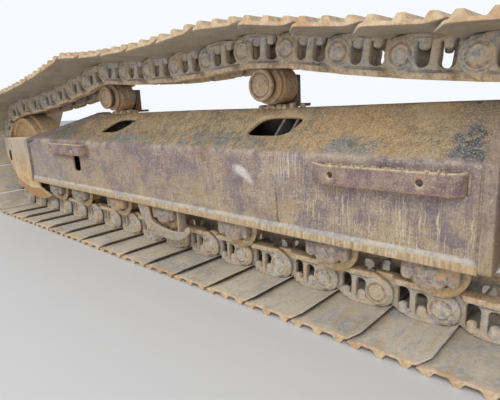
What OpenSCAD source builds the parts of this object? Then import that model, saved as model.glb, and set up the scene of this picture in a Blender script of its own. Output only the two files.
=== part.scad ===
/* [Chain] */
// Distance between two chain pins
pitch = 216; // [200:1:230]
// Number of links and shoes in the loop
links = 45; // [43:1:47]
// Height of the rail above the pins
rail_h = 70; // [60:1:76]
// Depth of the shoe seat below the pins
seat_drop = 57; // [52:1:64]
// Thickness of a link's outboard end
link_t = 30; // [26:1:34]
// Middle of a link's outboard end, from the middle of the chain
strand_out = 108; // [104:1:110]
// Radius of the bushings between the two strands
bushing_r = 32; // [26:1:34]
// Sag of the upper run in each span
sag = 30; // [10:1:45]
// Place of the first pin after the sprocket's lowest point, in links
phase = 0.51; // [0:0.01:1]

/* [Shoes] */
// Width of the shoes across the track
shoe_w = 700; // [600:10:850]
// Thickness of the shoe plate
shoe_t = 11; // [9:1:14]
// Height of the lugs below the plate
lug_h = 18; // [10:1:26]
// Width of a lug at its tip
lug_tip = 20; // [12:1:24]
// Width of a lug at its root
lug_root = 42; // [32:1:48]

/* [Wheels] */
// Teeth of the sprocket, two to each link
teeth = 21; // [19:2:23]
// Tread radius of the idler
idler_r = 270; // [240:1:290]
// Tread radius of the track rollers
roller_r = 75; // [66:1:80]
// Flange radius of the track rollers
flange_r = 98; // [90:1:102]
// Tread radius of the carrier rollers
carrier_r = 74; // [60:1:84]
// Height of the carrier rollers' axis
carrier_z = 810; // [800:1:830]
// Distance between the two carrier rollers
carrier_space = 1166; // [900:1:1300]
// Width over the treads of rollers and idler
tread_w = 250; // [244:1:260]

/* [Frame] */
// Half width over the frame's side plates
frame_half = 207; // [200:1:230]
// Thickness of the frame's plates
plate_t = 16; // [10:1:20]
// Height of the side plates' lower edge
skirt_z = 263; // [250:1:275]
// Height of the floor plate that carries the rollers
floor_z = 335; // [328:1:350]
// Height of the ridge where side and roof meet
ridge_z = 566; // [520:1:590]
// Height of the flat crest
crest_z = 723; // [700:1:724]
// Half width of the flat crest
crest_half = 37; // [30:1:60]
// Distance from the idler's axis back to the first track roller
first_gap = 596; // [560:1:640]
// Distance from the last track roller back to the sprocket's axis
last_gap = 556; // [500:1:580]
// Gap between the idler's axis and the box's front end
front_gap = 314; // [300:1:330]
// Gap between the sprocket's teeth and the box's rear end
rear_gap = 8; // [5:1:12]
// Thickness of the box's rear end
end_t = 36; // [24:1:40]
// Height by which flanges stand proud of the box
proud = 10; // [4:1:12]
// Front end of the crest, from the middle of the rollers
crest_front = 848; // [800:1:1000]
// Place of the axles' middle behind the rollers' middle
axle_shift = -30; // [-60:1:0]
// Thickness of the idler guide plates
nose_t = 18; // [12:1:20]
// Angle by which a guide plate's tip bends inwards
nose_bend = 6; // [4:1:12]

/* [Steps] */
// Length of a step bar
step_len = 496; // [420:1:520]
// Height of a step bar
step_h = 65; // [50:1:72]
// Distance from the side plate to a step bar's outer face
step_out = 46; // [40:1:60]
// Front step bar's front end, before the middle of the rollers
step_front = 1193; // [1100:1:1230]
// Rear step bar's front end, behind the middle of the rollers
step_rear = 880; // [800:1:888]

/* [Mounts] */
// Front leg's middle, before the middle of the rollers
leg_front = 640; // [500:1:760]
// Rear leg's middle, behind the middle of the rollers
leg_rear = 560; // [460:1:700]
// Width of a leg along the track
leg_w = 420; // [340:1:460]
// Height of a leg
leg_h = 230; // [180:1:230]
// Width of a mounting pad along the track
pad_w = 620; // [540:1:700]
// Height of a mounting pad
pad_h = 300; // [290:1:340]
// Thickness of the mounting pads
pad_t = 30; // [20:1:40]
// Radius of the bolt holes in the pads
pad_hole_r = 19.5; // [16:0.5:22]
// Radius of the holes in the step bars
step_hole_r = 11; // [8:0.5:14]

/* [Hidden] */
$fn = 64;
// Running gap between two pieces that touch on the real track
fit = 0.3;

// Derived heights and radii
pin_z = seat_drop + shoe_t + lug_h;
rail_z = pin_z + rail_h;
sprocket_pin_r = pitch / 2 / sin(360 / teeth);
idler_pin_r = sqrt(pow(idler_r + rail_h, 2) + pow(pitch / 2, 2));
sprocket_z = pin_z + sprocket_pin_r;
idler_z = pin_z + idler_pin_r;
roller_z = rail_z + roller_r + fit;
carrier_path_r = carrier_r + rail_h + 3;

// The pin path is a belt round four wheels: sprocket, idler, front and rear carrier.
// A wheel is [x, z, radius of its pin path], and the chain runs clockwise.
function wheels(base) = [
    [axle_shift + base / 2, sprocket_z, sprocket_pin_r],
    [axle_shift - base / 2, idler_z, idler_pin_r],
    [-carrier_space / 2, carrier_z, carrier_path_r],
    [carrier_space / 2, carrier_z, carrier_path_r]];
SAGS = [0, sag, sag, sag];
function at2(w) = [w[0], w[1]];
function unit(a) = [cos(a), sin(a)];
function turn(a) = a < 0 ? turn(a + 360) : a >= 360 ? turn(a - 360) : a;
// Angle of the outward normal of the straight run from wheel a to wheel b
function normal(a, b) = let (d = at2(b) - at2(a))
    atan2(d[1], d[0]) + acos((a[2] - b[2]) / norm(d));
function normals(w) = [for (j = [0:3]) normal(w[j], w[(j + 1) % 4])];
function run_start(w, n, j) = at2(w[j]) + w[j][2] * unit(n[j]);
function run_end(w, n, j) = at2(w[(j + 1) % 4]) + w[(j + 1) % 4][2] * unit(n[j]);
function run_length(w, n, j) = let (c = norm(run_end(w, n, j) - run_start(w, n, j)))
    (c + 8 * SAGS[j] * SAGS[j] / 3 / c) / pitch;
function link_turn(w, j) = 2 * asin(pitch / 2 / w[j][2]);
function wrap(w, n, j) = turn(n[(j + 3) % 4] - n[j]);
// Lengths in links of the four straight runs, each followed by the wheel after it
function spans(w, n) = [for (k = [0:7]) k % 2 == 0
    ? run_length(w, n, k / 2)
    : wrap(w, n, ((k + 1) / 2) % 4) / link_turn(w, ((k + 1) / 2) % 4)];
function sum(v, i = 0) = i < len(v) ? v[i] + sum(v, i + 1) : 0;
function loop_length(base) = let (w = wheels(base)) sum(spans(w, normals(w)));
// The tensioner sets the idler where the loop of links closes
function axle_base(base, tries) = tries == 0
    ? base
    : axle_base(base + (links - loop_length(base)) * pitch / 2, tries - 1);
base = axle_base(3700, 7);
WHEELS = wheels(base);
NORMALS = normals(WHEELS);
SPANS = spans(WHEELS, NORMALS);
function run_point(j, t) = let (a = run_start(WHEELS, NORMALS, j), b = run_end(WHEELS, NORMALS, j))
    a + (b - a) * t - 4 * SAGS[j] * t * (1 - t) * unit(NORMALS[j]);
function wheel_point(j, u) = at2(WHEELS[j])
    + WHEELS[j][2] * unit(NORMALS[(j + 3) % 4] - u * link_turn(WHEELS, j));
function path_point(u, k = 0) = u > SPANS[k] && k < 7
    ? path_point(u - SPANS[k], k + 1)
    : k % 2 == 0 ? run_point(k / 2, u / SPANS[k]) : wheel_point(((k + 1) / 2) % 4, u);
PINS0 = [for (i = [0:links - 1]) path_point(i + phase)];
function heading(p, i) = let (d = p[(i + 1) % links] - p[i]) atan2(d[1], d[0]);

// Lug middles along a shoe, from its link's first pin, in turn from the lip to the toe
LUG_U = [14, pitch / 2 - 16, pitch - 46];
lip_u = -48;
toe_u = pitch - 22;
shoe_face = seat_drop + shoe_t;
// Profile of a shoe: u along the link, v outwards from the pins
function lug(u) = [[u + lug_root / 2, shoe_face], [u + lug_tip / 2, shoe_face + lug_h],
    [u - lug_tip / 2, shoe_face + lug_h], [u - lug_root / 2, shoe_face]];
SHOE = concat(
    [[lip_u + 6, seat_drop - 16], [-10, seat_drop], [pitch - 64, seat_drop], [toe_u, seat_drop + 9]],
    [for (k = [1:3]) lug(LUG_U[2])[k]], lug(LUG_U[1]), lug(LUG_U[0]),
    [[lip_u, seat_drop - 9]]);
// Side view of a link's plate, boss end first
link_tip = 40;
LINK = [[-16, -rail_h], [-41, 0], [-8, seat_drop], [pitch - 86, seat_drop], [pitch + link_tip, 2],
    [pitch + 2, -rail_h]];
// Plan of a link's plate [along, across]: the outboard end laps the inboard end of the link before it,
// which reaches this far past the pin when the chain bends round the idler
most_turn = link_turn(WHEELS, 1);
link_reach = max(rail_h * sin(most_turn) + 2 * cos(most_turn), link_tip) + fit;
link_slant = 0.143;
link_inner = strand_out - link_t / 2;
function inner_face(u) = link_inner - link_slant * (u - link_reach);
LINK_PLAN = [[-60, strand_out + link_t / 2], [62, strand_out + link_t / 2],
    [pitch - 44, link_inner - 0.2], [pitch + 60, link_inner - 0.2],
    [pitch + 60, inner_face(pitch + 60)], [-60, inner_face(-60)]];

// Middle of the rollers, so that the origin is at the middle of the length
SHOE_X = [for (i = [0:links - 1]) for (q = SHOE)
    PINS0[i][0] + q[0] * cos(heading(PINS0, i)) - q[1] * sin(heading(PINS0, i))];
x_mid = -(max(SHOE_X) + min(SHOE_X)) / 2;
PINS = [for (p = PINS0) p + [x_mid, 0]];
sprocket_x = x_mid + axle_shift + base / 2;
idler_x = x_mid + axle_shift - base / 2;
tooth_tip = 14;
// Places of the track rollers, first and last given, the others between in shares of the row
row_x = idler_x + first_gap;
row = sprocket_x - last_gap - row_x;
ROLLER_X = [for (s = [0, 0.132, 0.306, 0.483, 0.676, 0.859, 1]) row_x + s * row];

// Slope of the roof plates
roof_a = atan2(crest_z - ridge_z, frame_half - crest_half);
roof_drop = plate_t / cos(roof_a);
function roof_under(y) = ridge_z + (frame_half - y) * tan(roof_a) - roof_drop;
front_x = idler_x + front_gap;
rear_x = sprocket_x - sprocket_pin_r - tooth_tip - rear_gap;
end_x = rear_x - end_t;

module across(y0, y1) translate([0, y1, 0]) rotate([90, 0, 0]) linear_extrude(y1 - y0) children();
module along(x0, x1) translate([x0, 0, 0]) rotate([90, 0, 90]) linear_extrude(x1 - x0) children();
module other_side() mirror([0, 1, 0]) children();
// A round bar along the Y axis
module bar(x, z, r, y0, y1) translate([x, y1, z]) rotate([90, 0, 0]) cylinder(r = r, h = y1 - y0);
// A turned piece about a wheel's axis: its profile is [radius, y]
module turned(x, z) translate([x, 0, z]) rotate([-90, 0, 0]) rotate_extrude() children();

module on_link(i) translate([PINS[i][0], 0, PINS[i][1]]) rotate([0, -heading(PINS, i), 0]) children();

module track_shoes() color("tan")
    for (i = [0:links - 1])
        on_link(i) across(-shoe_w / 2, shoe_w / 2) polygon(SHOE);

module link_plate() intersection() {
    across(0, 200) polygon(LINK);
    translate([0, 0, -100]) linear_extrude(200) polygon(LINK_PLAN);
}
module chain_links_outer() color("rosybrown")
    for (i = [0:links - 1]) on_link(i) other_side() link_plate();

module chain_links_inner() color("rosybrown")
    for (i = [0:links - 1]) on_link(i) link_plate();

// A bushing's corner points half a bend back, so that it lies as near the links on runs as on wheels
bushing_half = inner_face(pitch + bushing_r * cos(most_turn / 2)) - fit;
module chain_bushings() color("dimgray")
    for (i = [0:links - 1])
        on_link(i) across(-bushing_half, bushing_half) rotate(most_turn / 2) circle(bushing_r, $fn = 5);

// Side plate: a flange along its foot, its top edge cut to the roof plate's slope
foot_h = 32;
module side_section() polygon([[-frame_half - proud, skirt_z], [-frame_half + plate_t, skirt_z],
    [-frame_half + plate_t, roof_under(frame_half - plate_t)], [-frame_half, roof_under(frame_half)],
    [-frame_half, skirt_z + foot_h + proud], [-frame_half - proud, skirt_z + foot_h]]);
slot_x = x_mid - 859;
slot_z = 433;
slot_half = 25;
slot_r = 20;
module side_plate() difference() {
    along(front_x, end_x) side_section();
    for (dx = [-slot_half, slot_half])
        for (dz = [-slot_half, slot_half])
            bar(slot_x + dx, slot_z + dz, slot_r, -frame_half - 1, -frame_half + plate_t + 1);
    translate([slot_x - slot_half, -frame_half - 1, slot_z - slot_half - slot_r])
        cube([2 * slot_half, plate_t + 2, 2 * (slot_half + slot_r)]);
    translate([slot_x - slot_half - slot_r, -frame_half - 1, slot_z - slot_half])
        cube([2 * (slot_half + slot_r), plate_t + 2, 2 * slot_half]);
}
module side_plate_outer() color("rosybrown") side_plate();
module side_plate_inner() color("rosybrown") other_side() along(front_x, end_x) side_section();

// Roof plate: front end cut from the ridge up to the shorter crest, two long openings
oval_x = [x_mid - carrier_space / 2 + 20, x_mid + carrier_space / 2 + 50];
oval_half = 62;
oval_r = 53;
module roof_section() polygon([[-frame_half, ridge_z], [-crest_half, crest_z],
    [-crest_half, crest_z - roof_drop], [-frame_half, ridge_z - roof_drop]]);
module roof_plate() difference() {
    along(front_x, end_x) roof_section();
    across(-frame_half - 1, -crest_half + 1) polygon([[front_x - 1, ridge_z], [x_mid - crest_front, crest_z],
        [x_mid - crest_front, crest_z + 1], [front_x - 1, crest_z + 1]]);
    for (x = oval_x)
        translate([x, -(frame_half + crest_half) / 2, (ridge_z + crest_z) / 2]) rotate([roof_a, 0, 0]) {
            for (dx = [-oval_half, oval_half])
                translate([dx, 0, -2 * plate_t]) cylinder(r = oval_r, h = 4 * plate_t);
            translate([-oval_half, -oval_r, -2 * plate_t]) cube([2 * oval_half, 2 * oval_r, 4 * plate_t]);
        }
}
module roof_plate_outer() color("tan") roof_plate();
module roof_plate_inner() color("tan") other_side() roof_plate();

module crest_plate() color("tan")
    translate([x_mid - crest_front, -crest_half, crest_z - plate_t])
        cube([end_x - x_mid + crest_front, 2 * crest_half, plate_t]);

module floor_plate() color("rosybrown")
    translate([front_x + 110, -frame_half + plate_t, floor_z])
        cube([end_x - front_x - 110, 2 * (frame_half - plate_t), plate_t]);

// Cross walls inside the box; the recoil spring seats on the first
module house_section(top) polygon([[-frame_half + plate_t, floor_z + plate_t],
    [frame_half - plate_t, floor_z + plate_t],
    [frame_half - plate_t, roof_under(frame_half - plate_t)],
    [top, roof_under(top)], [-top, roof_under(top)],
    [-frame_half + plate_t, roof_under(frame_half - plate_t)]]);
WALL_X = [for (s = [0.295, 0.445, 0.629, 0.796]) front_x + s * (end_x - front_x)];
spring_seat = WALL_X[0];
module diaphragms() color("rosybrown")
    for (x = WALL_X) along(x, x + plate_t) house_section(crest_half + 8);

// Rear end: a thick plate that stands proud of sides and roof all round
function proud_half(z) = crest_half + (crest_z + proud / cos(roof_a) - z) / tan(roof_a);
module rear_end_plate() color("rosybrown")
    along(end_x, rear_x) polygon([[-frame_half - proud, skirt_z], [frame_half + proud, skirt_z],
        [frame_half + proud, crest_z + proud / cos(roof_a) - (frame_half + proud - crest_half) * tan(roof_a)],
        [proud_half(crest_z + proud), crest_z + proud], [-proud_half(crest_z + proud), crest_z + proud],
        [-frame_half - proud, crest_z + proud / cos(roof_a) - (frame_half + proud - crest_half) * tan(roof_a)]]);

// Idler guide plates: a flat part behind, a bowl-shaped lower edge and a tip bent inwards
nose_y = frame_half - plate_t;
nose_front = idler_x - 272;
nose_fold = idler_x - 32;
nose_arc_x = idler_x + 256;
nose_arc_z = 873;
nose_arc_r = 754;
nose_back = idler_x + 513;
nose_hole_x = idler_x - 103;
nose_hole_z = 425;
module nose_outline() intersection() {
    polygon([[nose_front, 561], [front_x - 4, 580], [front_x - 4, 552], [front_x + 90, 552],
        [front_x + 90, 263], [front_x + 8, 242], [nose_back, 149], [nose_back, 100],
        [nose_front + 97, 100]]);
    translate([nose_arc_x, nose_arc_z]) circle(nose_arc_r, $fn = 128);
}
// Plan of a guide plate: straight behind the fold, bent inwards before it
nose_len = 400;
NOSE_PLAN = [[nose_back + 1, -nose_y], [nose_fold, -nose_y],
    [nose_fold - nose_len * cos(nose_bend), -nose_y + nose_len * sin(nose_bend)],
    [nose_fold - nose_len * cos(nose_bend) + nose_t * sin(nose_bend),
        -nose_y + nose_len * sin(nose_bend) + nose_t * cos(nose_bend)],
    [nose_fold + nose_t * tan(nose_bend / 2), -nose_y + nose_t], [nose_back + 1, -nose_y + nose_t]];
module nose_plate() difference() {
    intersection() {
        linear_extrude(700) polygon(NOSE_PLAN);
        across(-nose_y - 1, 0) nose_outline();
    }
    for (dz = [-15, 15]) bar(nose_hole_x, nose_hole_z + dz, 22, -nose_y - 1, -1);
    translate([nose_hole_x - 22, -nose_y - 1, nose_hole_z - 15]) cube([44, nose_y, 30]);
}
module nose_plate_outer() color("burlywood") nose_plate();
module nose_plate_inner() color("burlywood") other_side() nose_plate();

block_half = 75;
block_x = 110;
rail_t = 22;
rail_y = nose_y - nose_t;
module idler_guide_rails() color("dimgray")
    for (side = [0, 1]) mirror([0, side, 0])
        for (z = [idler_z - block_half - rail_t - fit, idler_z + block_half + fit])
            translate([nose_fold + 20, -rail_y, z]) cube([front_x + 70 - nose_fold, 32, rail_t]);

// Idler: hub, dished web and rim with a middle flange that runs between the strands
tread_half = tread_w / 2;
rim_half = 105;
module idler_wheel() color("burlywood") turned(idler_x, idler_z) polygon([
    [46, -118], [92, -118], [100, -70], [112, -26], [idler_r - 44, -24], [idler_r - 34, -rim_half + 8],
    [idler_r - 24, -rim_half], [idler_r, -rim_half], [idler_r, -54], [idler_r + 20, -48],
    [idler_r + 20, 48], [idler_r, 54], [idler_r, rim_half], [idler_r - 24, rim_half],
    [idler_r - 34, rim_half - 8], [idler_r - 44, 24], [112, 26], [100, 70], [92, 118], [46, 118]]);

module idler_shaft() color("dimgray")
    bar(idler_x, idler_z, 46 - fit, -rail_y + 4, rail_y - 4);

// Plan of a block: its outer face follows the bent guide plate
block_y = -119;
bend_x = nose_fold + nose_t * tan(nose_bend / 2);
BLOCK = [[idler_x - block_x, block_y], [idler_x + block_x, block_y], [idler_x + block_x, -rail_y + fit],
    [bend_x, -rail_y + fit], [idler_x - block_x, -rail_y + fit + (bend_x - idler_x + block_x) * tan(nose_bend)]];
module idler_blocks() color("rosybrown")
    for (side = [0, 1]) mirror([0, side, 0]) difference() {
        translate([0, 0, idler_z - block_half]) linear_extrude(2 * block_half) polygon(BLOCK);
        bar(idler_x, idler_z, 46, -rail_y - 1, 0);
    }

// Yoke from the idler's blocks back to the recoil spring
yoke_x = idler_x + idler_r + 60;
module idler_yoke() color("rosybrown") {
    for (side = [0, 1]) mirror([0, side, 0])
        translate([idler_x + block_x, -rail_y + 6, idler_z - 45])
            cube([yoke_x - idler_x - block_x + 40, 30, 90]);
    translate([yoke_x, -rail_y + 6, idler_z - 55]) cube([40, 2 * (rail_y - 6), 110]);
}

// The case lies just above the floor plate
spring_gap = 16;
spring_r = idler_z - floor_z - plate_t - spring_gap;
module recoil_spring_case() color("dimgray")
    translate([yoke_x + 40, 0, idler_z]) rotate([0, 90, 0]) {
        cylinder(r = spring_r * 0.66, h = 120);
        translate([0, 0, 120]) cylinder(r = spring_r, h = spring_seat - yoke_x - 160);
    }

// Track rollers: two treads, outer flanges and a waist
module track_roller(i) color("rosybrown") turned(ROLLER_X[i], roller_z) polygon([
    [36, -tread_half - 14], [flange_r - 8, -tread_half - 14], [flange_r, -tread_half - 8],
    [flange_r, -tread_half - 2], [roller_r, -tread_half], [roller_r, -52], [roller_r - 12, -40],
    [roller_r - 12, 40], [roller_r, 52], [roller_r, tread_half], [flange_r, tread_half + 2],
    [flange_r, tread_half + 8], [flange_r - 8, tread_half + 14], [36, tread_half + 14]]);
module track_roller_1() track_roller(0);
module track_roller_2() track_roller(1);
module track_roller_3() track_roller(2);
module track_roller_4() track_roller(3);
module track_roller_5() track_roller(4);
module track_roller_6() track_roller(5);
module track_roller_7() track_roller(6);

collar_y0 = tread_half + 14 + fit;
collar_y1 = frame_half - plate_t - nose_t - 2;
module roller_shafts() color("dimgray")
    for (x = ROLLER_X) bar(x, roller_z, 36 - fit, -collar_y1 + 4, collar_y1 - 4);

// Cast collar: a dome round the shaft, a lug for a bolt on each side, a web up to the floor plate
dome_r = 52;
dome_half = 52;
lug_x = 70;
lug_r = 20;
lug_down = 22;
web_down = 24;
module roller_collar(x) difference() {
    union() {
        bar(x, roller_z, dome_r, -collar_y1, -collar_y0);
        translate([0, -collar_y0, 0]) rotate([90, 0, 0]) linear_extrude(collar_y1 - collar_y0)
            polygon([[x - dome_r, roller_z], [x + dome_r, roller_z], [x + dome_half, roller_z + 24],
                [x + dome_half, floor_z], [x - dome_half, floor_z], [x - dome_half, roller_z + 24]]);
        for (side = [-1, 1]) {
            bar(x + side * lug_x, roller_z - lug_down, lug_r, -collar_y1, -collar_y0);
            translate([x + side * lug_x - lug_r, -collar_y1, roller_z - lug_down])
                cube([2 * lug_r, collar_y1 - collar_y0, floor_z - roller_z + lug_down]);
        }
        translate([x - lug_x, -collar_y1 + 8, roller_z - web_down])
            cube([2 * lug_x, collar_y1 - collar_y0 - 8, floor_z - roller_z + web_down]);
    }
    bar(x, roller_z, 36, -collar_y1 - 1, -collar_y0 + 1);
}
module roller_collars_outer() color("tan") for (x = ROLLER_X) roller_collar(x);
module roller_collars_inner() color("tan") other_side() for (x = ROLLER_X) roller_collar(x);

// Carrier rollers: an end cap outside, two treads, carried on a post at the inner end
cap_y = -123;
module carrier_roller(x) color("peru") turned(x, carrier_z) polygon([
    [0, cap_y], [52, cap_y], [60, cap_y + 4], [60, cap_y + 22], [56, cap_y + 24], [56, cap_y + 42],
    [carrier_r, cap_y + 44], [carrier_r, cap_y + 52], [carrier_r - 6, cap_y + 56],
    [carrier_r - 6, -54], [carrier_r, -50], [carrier_r, 30], [50, 34], [50, 52], [0, 52]]);
module carrier_roller_front() carrier_roller(x_mid - carrier_space / 2);
module carrier_roller_rear() carrier_roller(x_mid + carrier_space / 2);

module carrier_posts() color("rosybrown")
    for (x = [-carrier_space / 2, carrier_space / 2])
        translate([x_mid + x, 0, 0]) {
            translate([-40, -10 + 62 + fit, crest_z + 12]) cube([80, 38, carrier_z - crest_z - 12 + 40]);
            translate([-70, -crest_half + 4, crest_z]) cube([140, 150, 12]);
        }

// Guard: a hook-shaped plate below the middle roller, carried by a rib at its tip
guard_t = 12;
guard_rib_x = 66;
GUARD = [[-250, 241], [-224, 184], [-179, 130], [-86, 103], [14, 100], [79, 106], [136, 132], [164, 158],
    [170, 176], [160, 188], [146, 184], [118, 158], [78, 150], [14, 148], [-36, 154], [-110, 164],
    [-143, 179], [-158, 247], [-158, floor_z], [-250, floor_z]];
module track_guard() color("rosybrown") {
    across(-nose_y, -nose_y + guard_t) polygon([for (p = GUARD) p + [x_mid, 0]]);
    translate([x_mid + guard_rib_x, -nose_y + guard_t, 120]) cube([guard_t, 46, floor_z - 120]);
}

// Step bars: bent flat bars on the outer side plate, plan view [x, distance from the plate]
step_t = 12;
module step_bar(x0, z) translate([x0, -frame_half, z]) difference() {
    mirror([0, 1, 0]) linear_extrude(step_h) difference() {
        polygon([[0, 0], [70, step_out], [step_len - 20, step_out], [step_len, step_out - 20], [step_len, 0]]);
        polygon([[24, -1], [76, step_out - step_t], [step_len - 24, step_out - step_t],
            [step_len - step_t, step_out - 24], [step_len - step_t, -1]]);
    }
    for (x = [100, step_len - 110])
        translate([x, 0, step_h / 2]) rotate([90, 0, 0]) cylinder(r = step_hole_r, h = 2 * step_out);
}
module step_bar_front() color("rosybrown") step_bar(x_mid - step_front, ridge_z - 76);
module step_bar_rear() color("rosybrown") step_bar(x_mid + step_rear, ridge_z - 87);

// Final drive: its case inside the sprocket, the motor on the other side of the bracket
case_r = 225;
case_out = 190;
cover_r = 120;
motor_r = 200;
motor_out = 250;
bracket_r = 250;
bracket_y = 75;
bracket_t = 30;

// Sprocket: a ring with pockets for the bushings, two to each link
ring_half = 38;
module pocket() {
    circle(bushing_r + 2);
    polygon([[0, -bushing_r - 2], [60, -bushing_r - 22], [60, bushing_r + 22], [0, bushing_r + 2]]);
}
first_pin = PINS[links - 1];
pocket_a = atan2(first_pin[1] - sprocket_z, first_pin[0] - sprocket_x);
module sprocket_ring() color("dimgray") translate([sprocket_x, 0, sprocket_z])
    rotate([0, -pocket_a, 0]) across(-ring_half, ring_half) difference() {
        circle(sprocket_pin_r + tooth_tip, $fn = 128);
        circle(case_r);
        for (k = [0:teeth - 1]) rotate(k * 360 / teeth) translate([sprocket_pin_r, 0]) pocket();
    }

module final_drive_case() color("rosybrown") turned(sprocket_x, sprocket_z) polygon([
    [0, -case_out], [cover_r, -case_out], [cover_r + 20, -case_out + 20], [cover_r + 30, -80],
    [motor_r, -60], [case_r - fit, -56], [case_r - fit, 40], [case_r - 10, 60], [motor_r, bracket_y - 1],
    [0, bracket_y - 1]]);

module drive_bracket() color("rosybrown") difference() {
    union() {
        bar(sprocket_x, sprocket_z, bracket_r, bracket_y, bracket_y + bracket_t);
        across(bracket_y, bracket_y + bracket_t)
            polygon([[rear_x, skirt_z + 30], [sprocket_x, sprocket_z - bracket_r],
                [sprocket_x, sprocket_z + bracket_r], [rear_x, ridge_z - 30]]);
    }
    bar(sprocket_x, sprocket_z, motor_r + 0.5, bracket_y - 1, bracket_y + bracket_t + 1);
}

module travel_motor() color("dimgray") turned(sprocket_x, sprocket_z) polygon([
    [0, bracket_y - 1 + fit], [motor_r, bracket_y - 1 + fit], [motor_r, bracket_y + bracket_t + fit],
    [motor_r - 35, bracket_y + bracket_t + 15], [motor_r - 35, motor_out - 20], [motor_r - 80, motor_out],
    [0, motor_out]]);

// Legs and pads on the inner side, where the undercarriage's middle frame bolts on
leg_z = floor_z;
pad_z = floor_z - 35;
pad_margin = 45;
pad_y1 = shoe_w / 2;
module mount_leg(x) difference() {
    translate([x - leg_w / 2, frame_half, leg_z]) cube([leg_w, pad_y1 - pad_t - frame_half, leg_h]);
    translate([x - leg_w / 2 + plate_t, frame_half - 1, leg_z + plate_t])
        cube([leg_w - 2 * plate_t, pad_y1 - pad_t - frame_half + 2, leg_h - 2 * plate_t]);
}
module mount_leg_front() color("rosybrown") mount_leg(x_mid - leg_front);
module mount_leg_rear() color("rosybrown") mount_leg(x_mid + leg_rear);
module mount_pad(x) difference() {
    translate([x - pad_w / 2, pad_y1 - pad_t, pad_z]) cube([pad_w, pad_t, pad_h]);
    for (dx = [-1, 1] * (pad_w / 2 - pad_margin))
        for (dz = [-1, 1] * (pad_h / 2 - pad_margin))
            bar(x + dx, pad_z + pad_h / 2 + dz, pad_hole_r, pad_y1 - pad_t - 1, pad_y1 + 1);
}
module mount_pad_front() color("dimgray") mount_pad(x_mid - leg_front);
module mount_pad_rear() color("dimgray") mount_pad(x_mid + leg_rear);

track_shoes();
chain_links_outer();
chain_links_inner();
chain_bushings();
side_plate_outer();
side_plate_inner();
roof_plate_outer();
roof_plate_inner();
crest_plate();
floor_plate();
diaphragms();
rear_end_plate();
nose_plate_outer();
nose_plate_inner();
idler_guide_rails();
idler_wheel();
idler_shaft();
idler_blocks();
idler_yoke();
recoil_spring_case();
track_roller_1();
track_roller_2();
track_roller_3();
track_roller_4();
track_roller_5();
track_roller_6();
track_roller_7();
roller_shafts();
roller_collars_outer();
roller_collars_inner();
carrier_roller_front();
carrier_roller_rear();
carrier_posts();
track_guard();
step_bar_front();
step_bar_rear();
sprocket_ring();
final_drive_case();
travel_motor();
drive_bracket();
mount_leg_front();
mount_leg_rear();
mount_pad_front();
mount_pad_rear();
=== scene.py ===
import math

import bpy
import numpy as np
from mathutils import Matrix, Vector
from mathutils.geometry import delaunay_2d_cdt


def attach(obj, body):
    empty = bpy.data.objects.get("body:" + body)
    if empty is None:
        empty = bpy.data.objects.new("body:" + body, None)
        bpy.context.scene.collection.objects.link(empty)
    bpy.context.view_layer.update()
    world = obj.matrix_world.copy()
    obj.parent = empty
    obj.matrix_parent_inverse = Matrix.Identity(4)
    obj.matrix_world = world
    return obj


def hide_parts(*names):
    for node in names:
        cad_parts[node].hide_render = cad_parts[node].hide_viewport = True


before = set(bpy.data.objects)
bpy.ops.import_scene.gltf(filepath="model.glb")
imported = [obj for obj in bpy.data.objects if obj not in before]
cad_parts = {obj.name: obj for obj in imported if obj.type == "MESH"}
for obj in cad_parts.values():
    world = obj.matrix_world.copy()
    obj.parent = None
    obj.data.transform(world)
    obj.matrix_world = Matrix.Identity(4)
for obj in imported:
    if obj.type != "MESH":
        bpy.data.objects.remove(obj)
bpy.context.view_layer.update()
MM = 0.001
GOLDEN = 0.61803

# ---------- Values of the track, in millimetres, as in the part's source ----------
PITCH, LINKS, PHASE = 216.0, 45, 0.51
RAIL_H, SEAT, SHOE_T, LUG_H = 70.0, 57.0, 11.0, 18.0
SHOE_W = 700.0
IDLER_R, CARRIER_R, CARRIER_Z, CARRIER_SPACE = 270.0, 74.0, 810.0, 1166.0
TEETH, AXLE_SHIFT = 21, -30.0
SAGS = (0.0, 30.0, 30.0, 30.0)
ROLLER_R = 75.0
FRAME_HALF, PLATE, SKIRT_Z, FLOOR_Z = 207.0, 16.0, 263.0, 335.0
RIDGE_Z, CREST_Z, CREST_HALF, CREST_FRONT = 566.0, 723.0, 37.0, 848.0
SLOPE = (CREST_Z - RIDGE_Z) / (FRAME_HALF - CREST_HALF)
FACE = SEAT + SHOE_T
PIN_Z = FACE + LUG_H
LUG_U = (14.0, PITCH / 2 - 16, PITCH - 46)
ROLLER_SHARES = (0, 0.132, 0.306, 0.483, 0.676, 0.859, 1)
# Half lengths, bolts, bores and thicknesses of the shapes below
ROLLER_HALF, CLEAR = 139.0, 0.3
BUSHING_R, BUSHING_HALF = 32.0, 66.0
BOLT_U, BOLT_Y = (54.0, 131.0), 105.0
SPROCKET_BORE, BRACKET_BORE, BRACKET_Y = 226.0, 200.5, (75.0, 105.0)
END_T, RIB_T, NOSE_T = 36.0, 12.0, 18.0


# ---------- The loop of the chain ----------
def unit(degrees):
    """The direction at an angle from +X, as (x, z)."""
    a = math.radians(degrees)
    return np.array([math.cos(a), math.sin(a)])


def wheels(base):
    """Sprocket, idler, front and rear carrier as rows of x, z and radius of the pin path."""
    sprocket_r = PITCH / 2 / math.sin(math.radians(360 / TEETH))
    idler_r = math.hypot(IDLER_R + RAIL_H, PITCH / 2)
    carrier_r = CARRIER_R + RAIL_H + 3
    return np.array([
        [AXLE_SHIFT + base / 2, PIN_Z + sprocket_r, sprocket_r],
        [AXLE_SHIFT - base / 2, PIN_Z + idler_r, idler_r],
        [-CARRIER_SPACE / 2, CARRIER_Z, carrier_r],
        [CARRIER_SPACE / 2, CARRIER_Z, carrier_r]])


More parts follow.
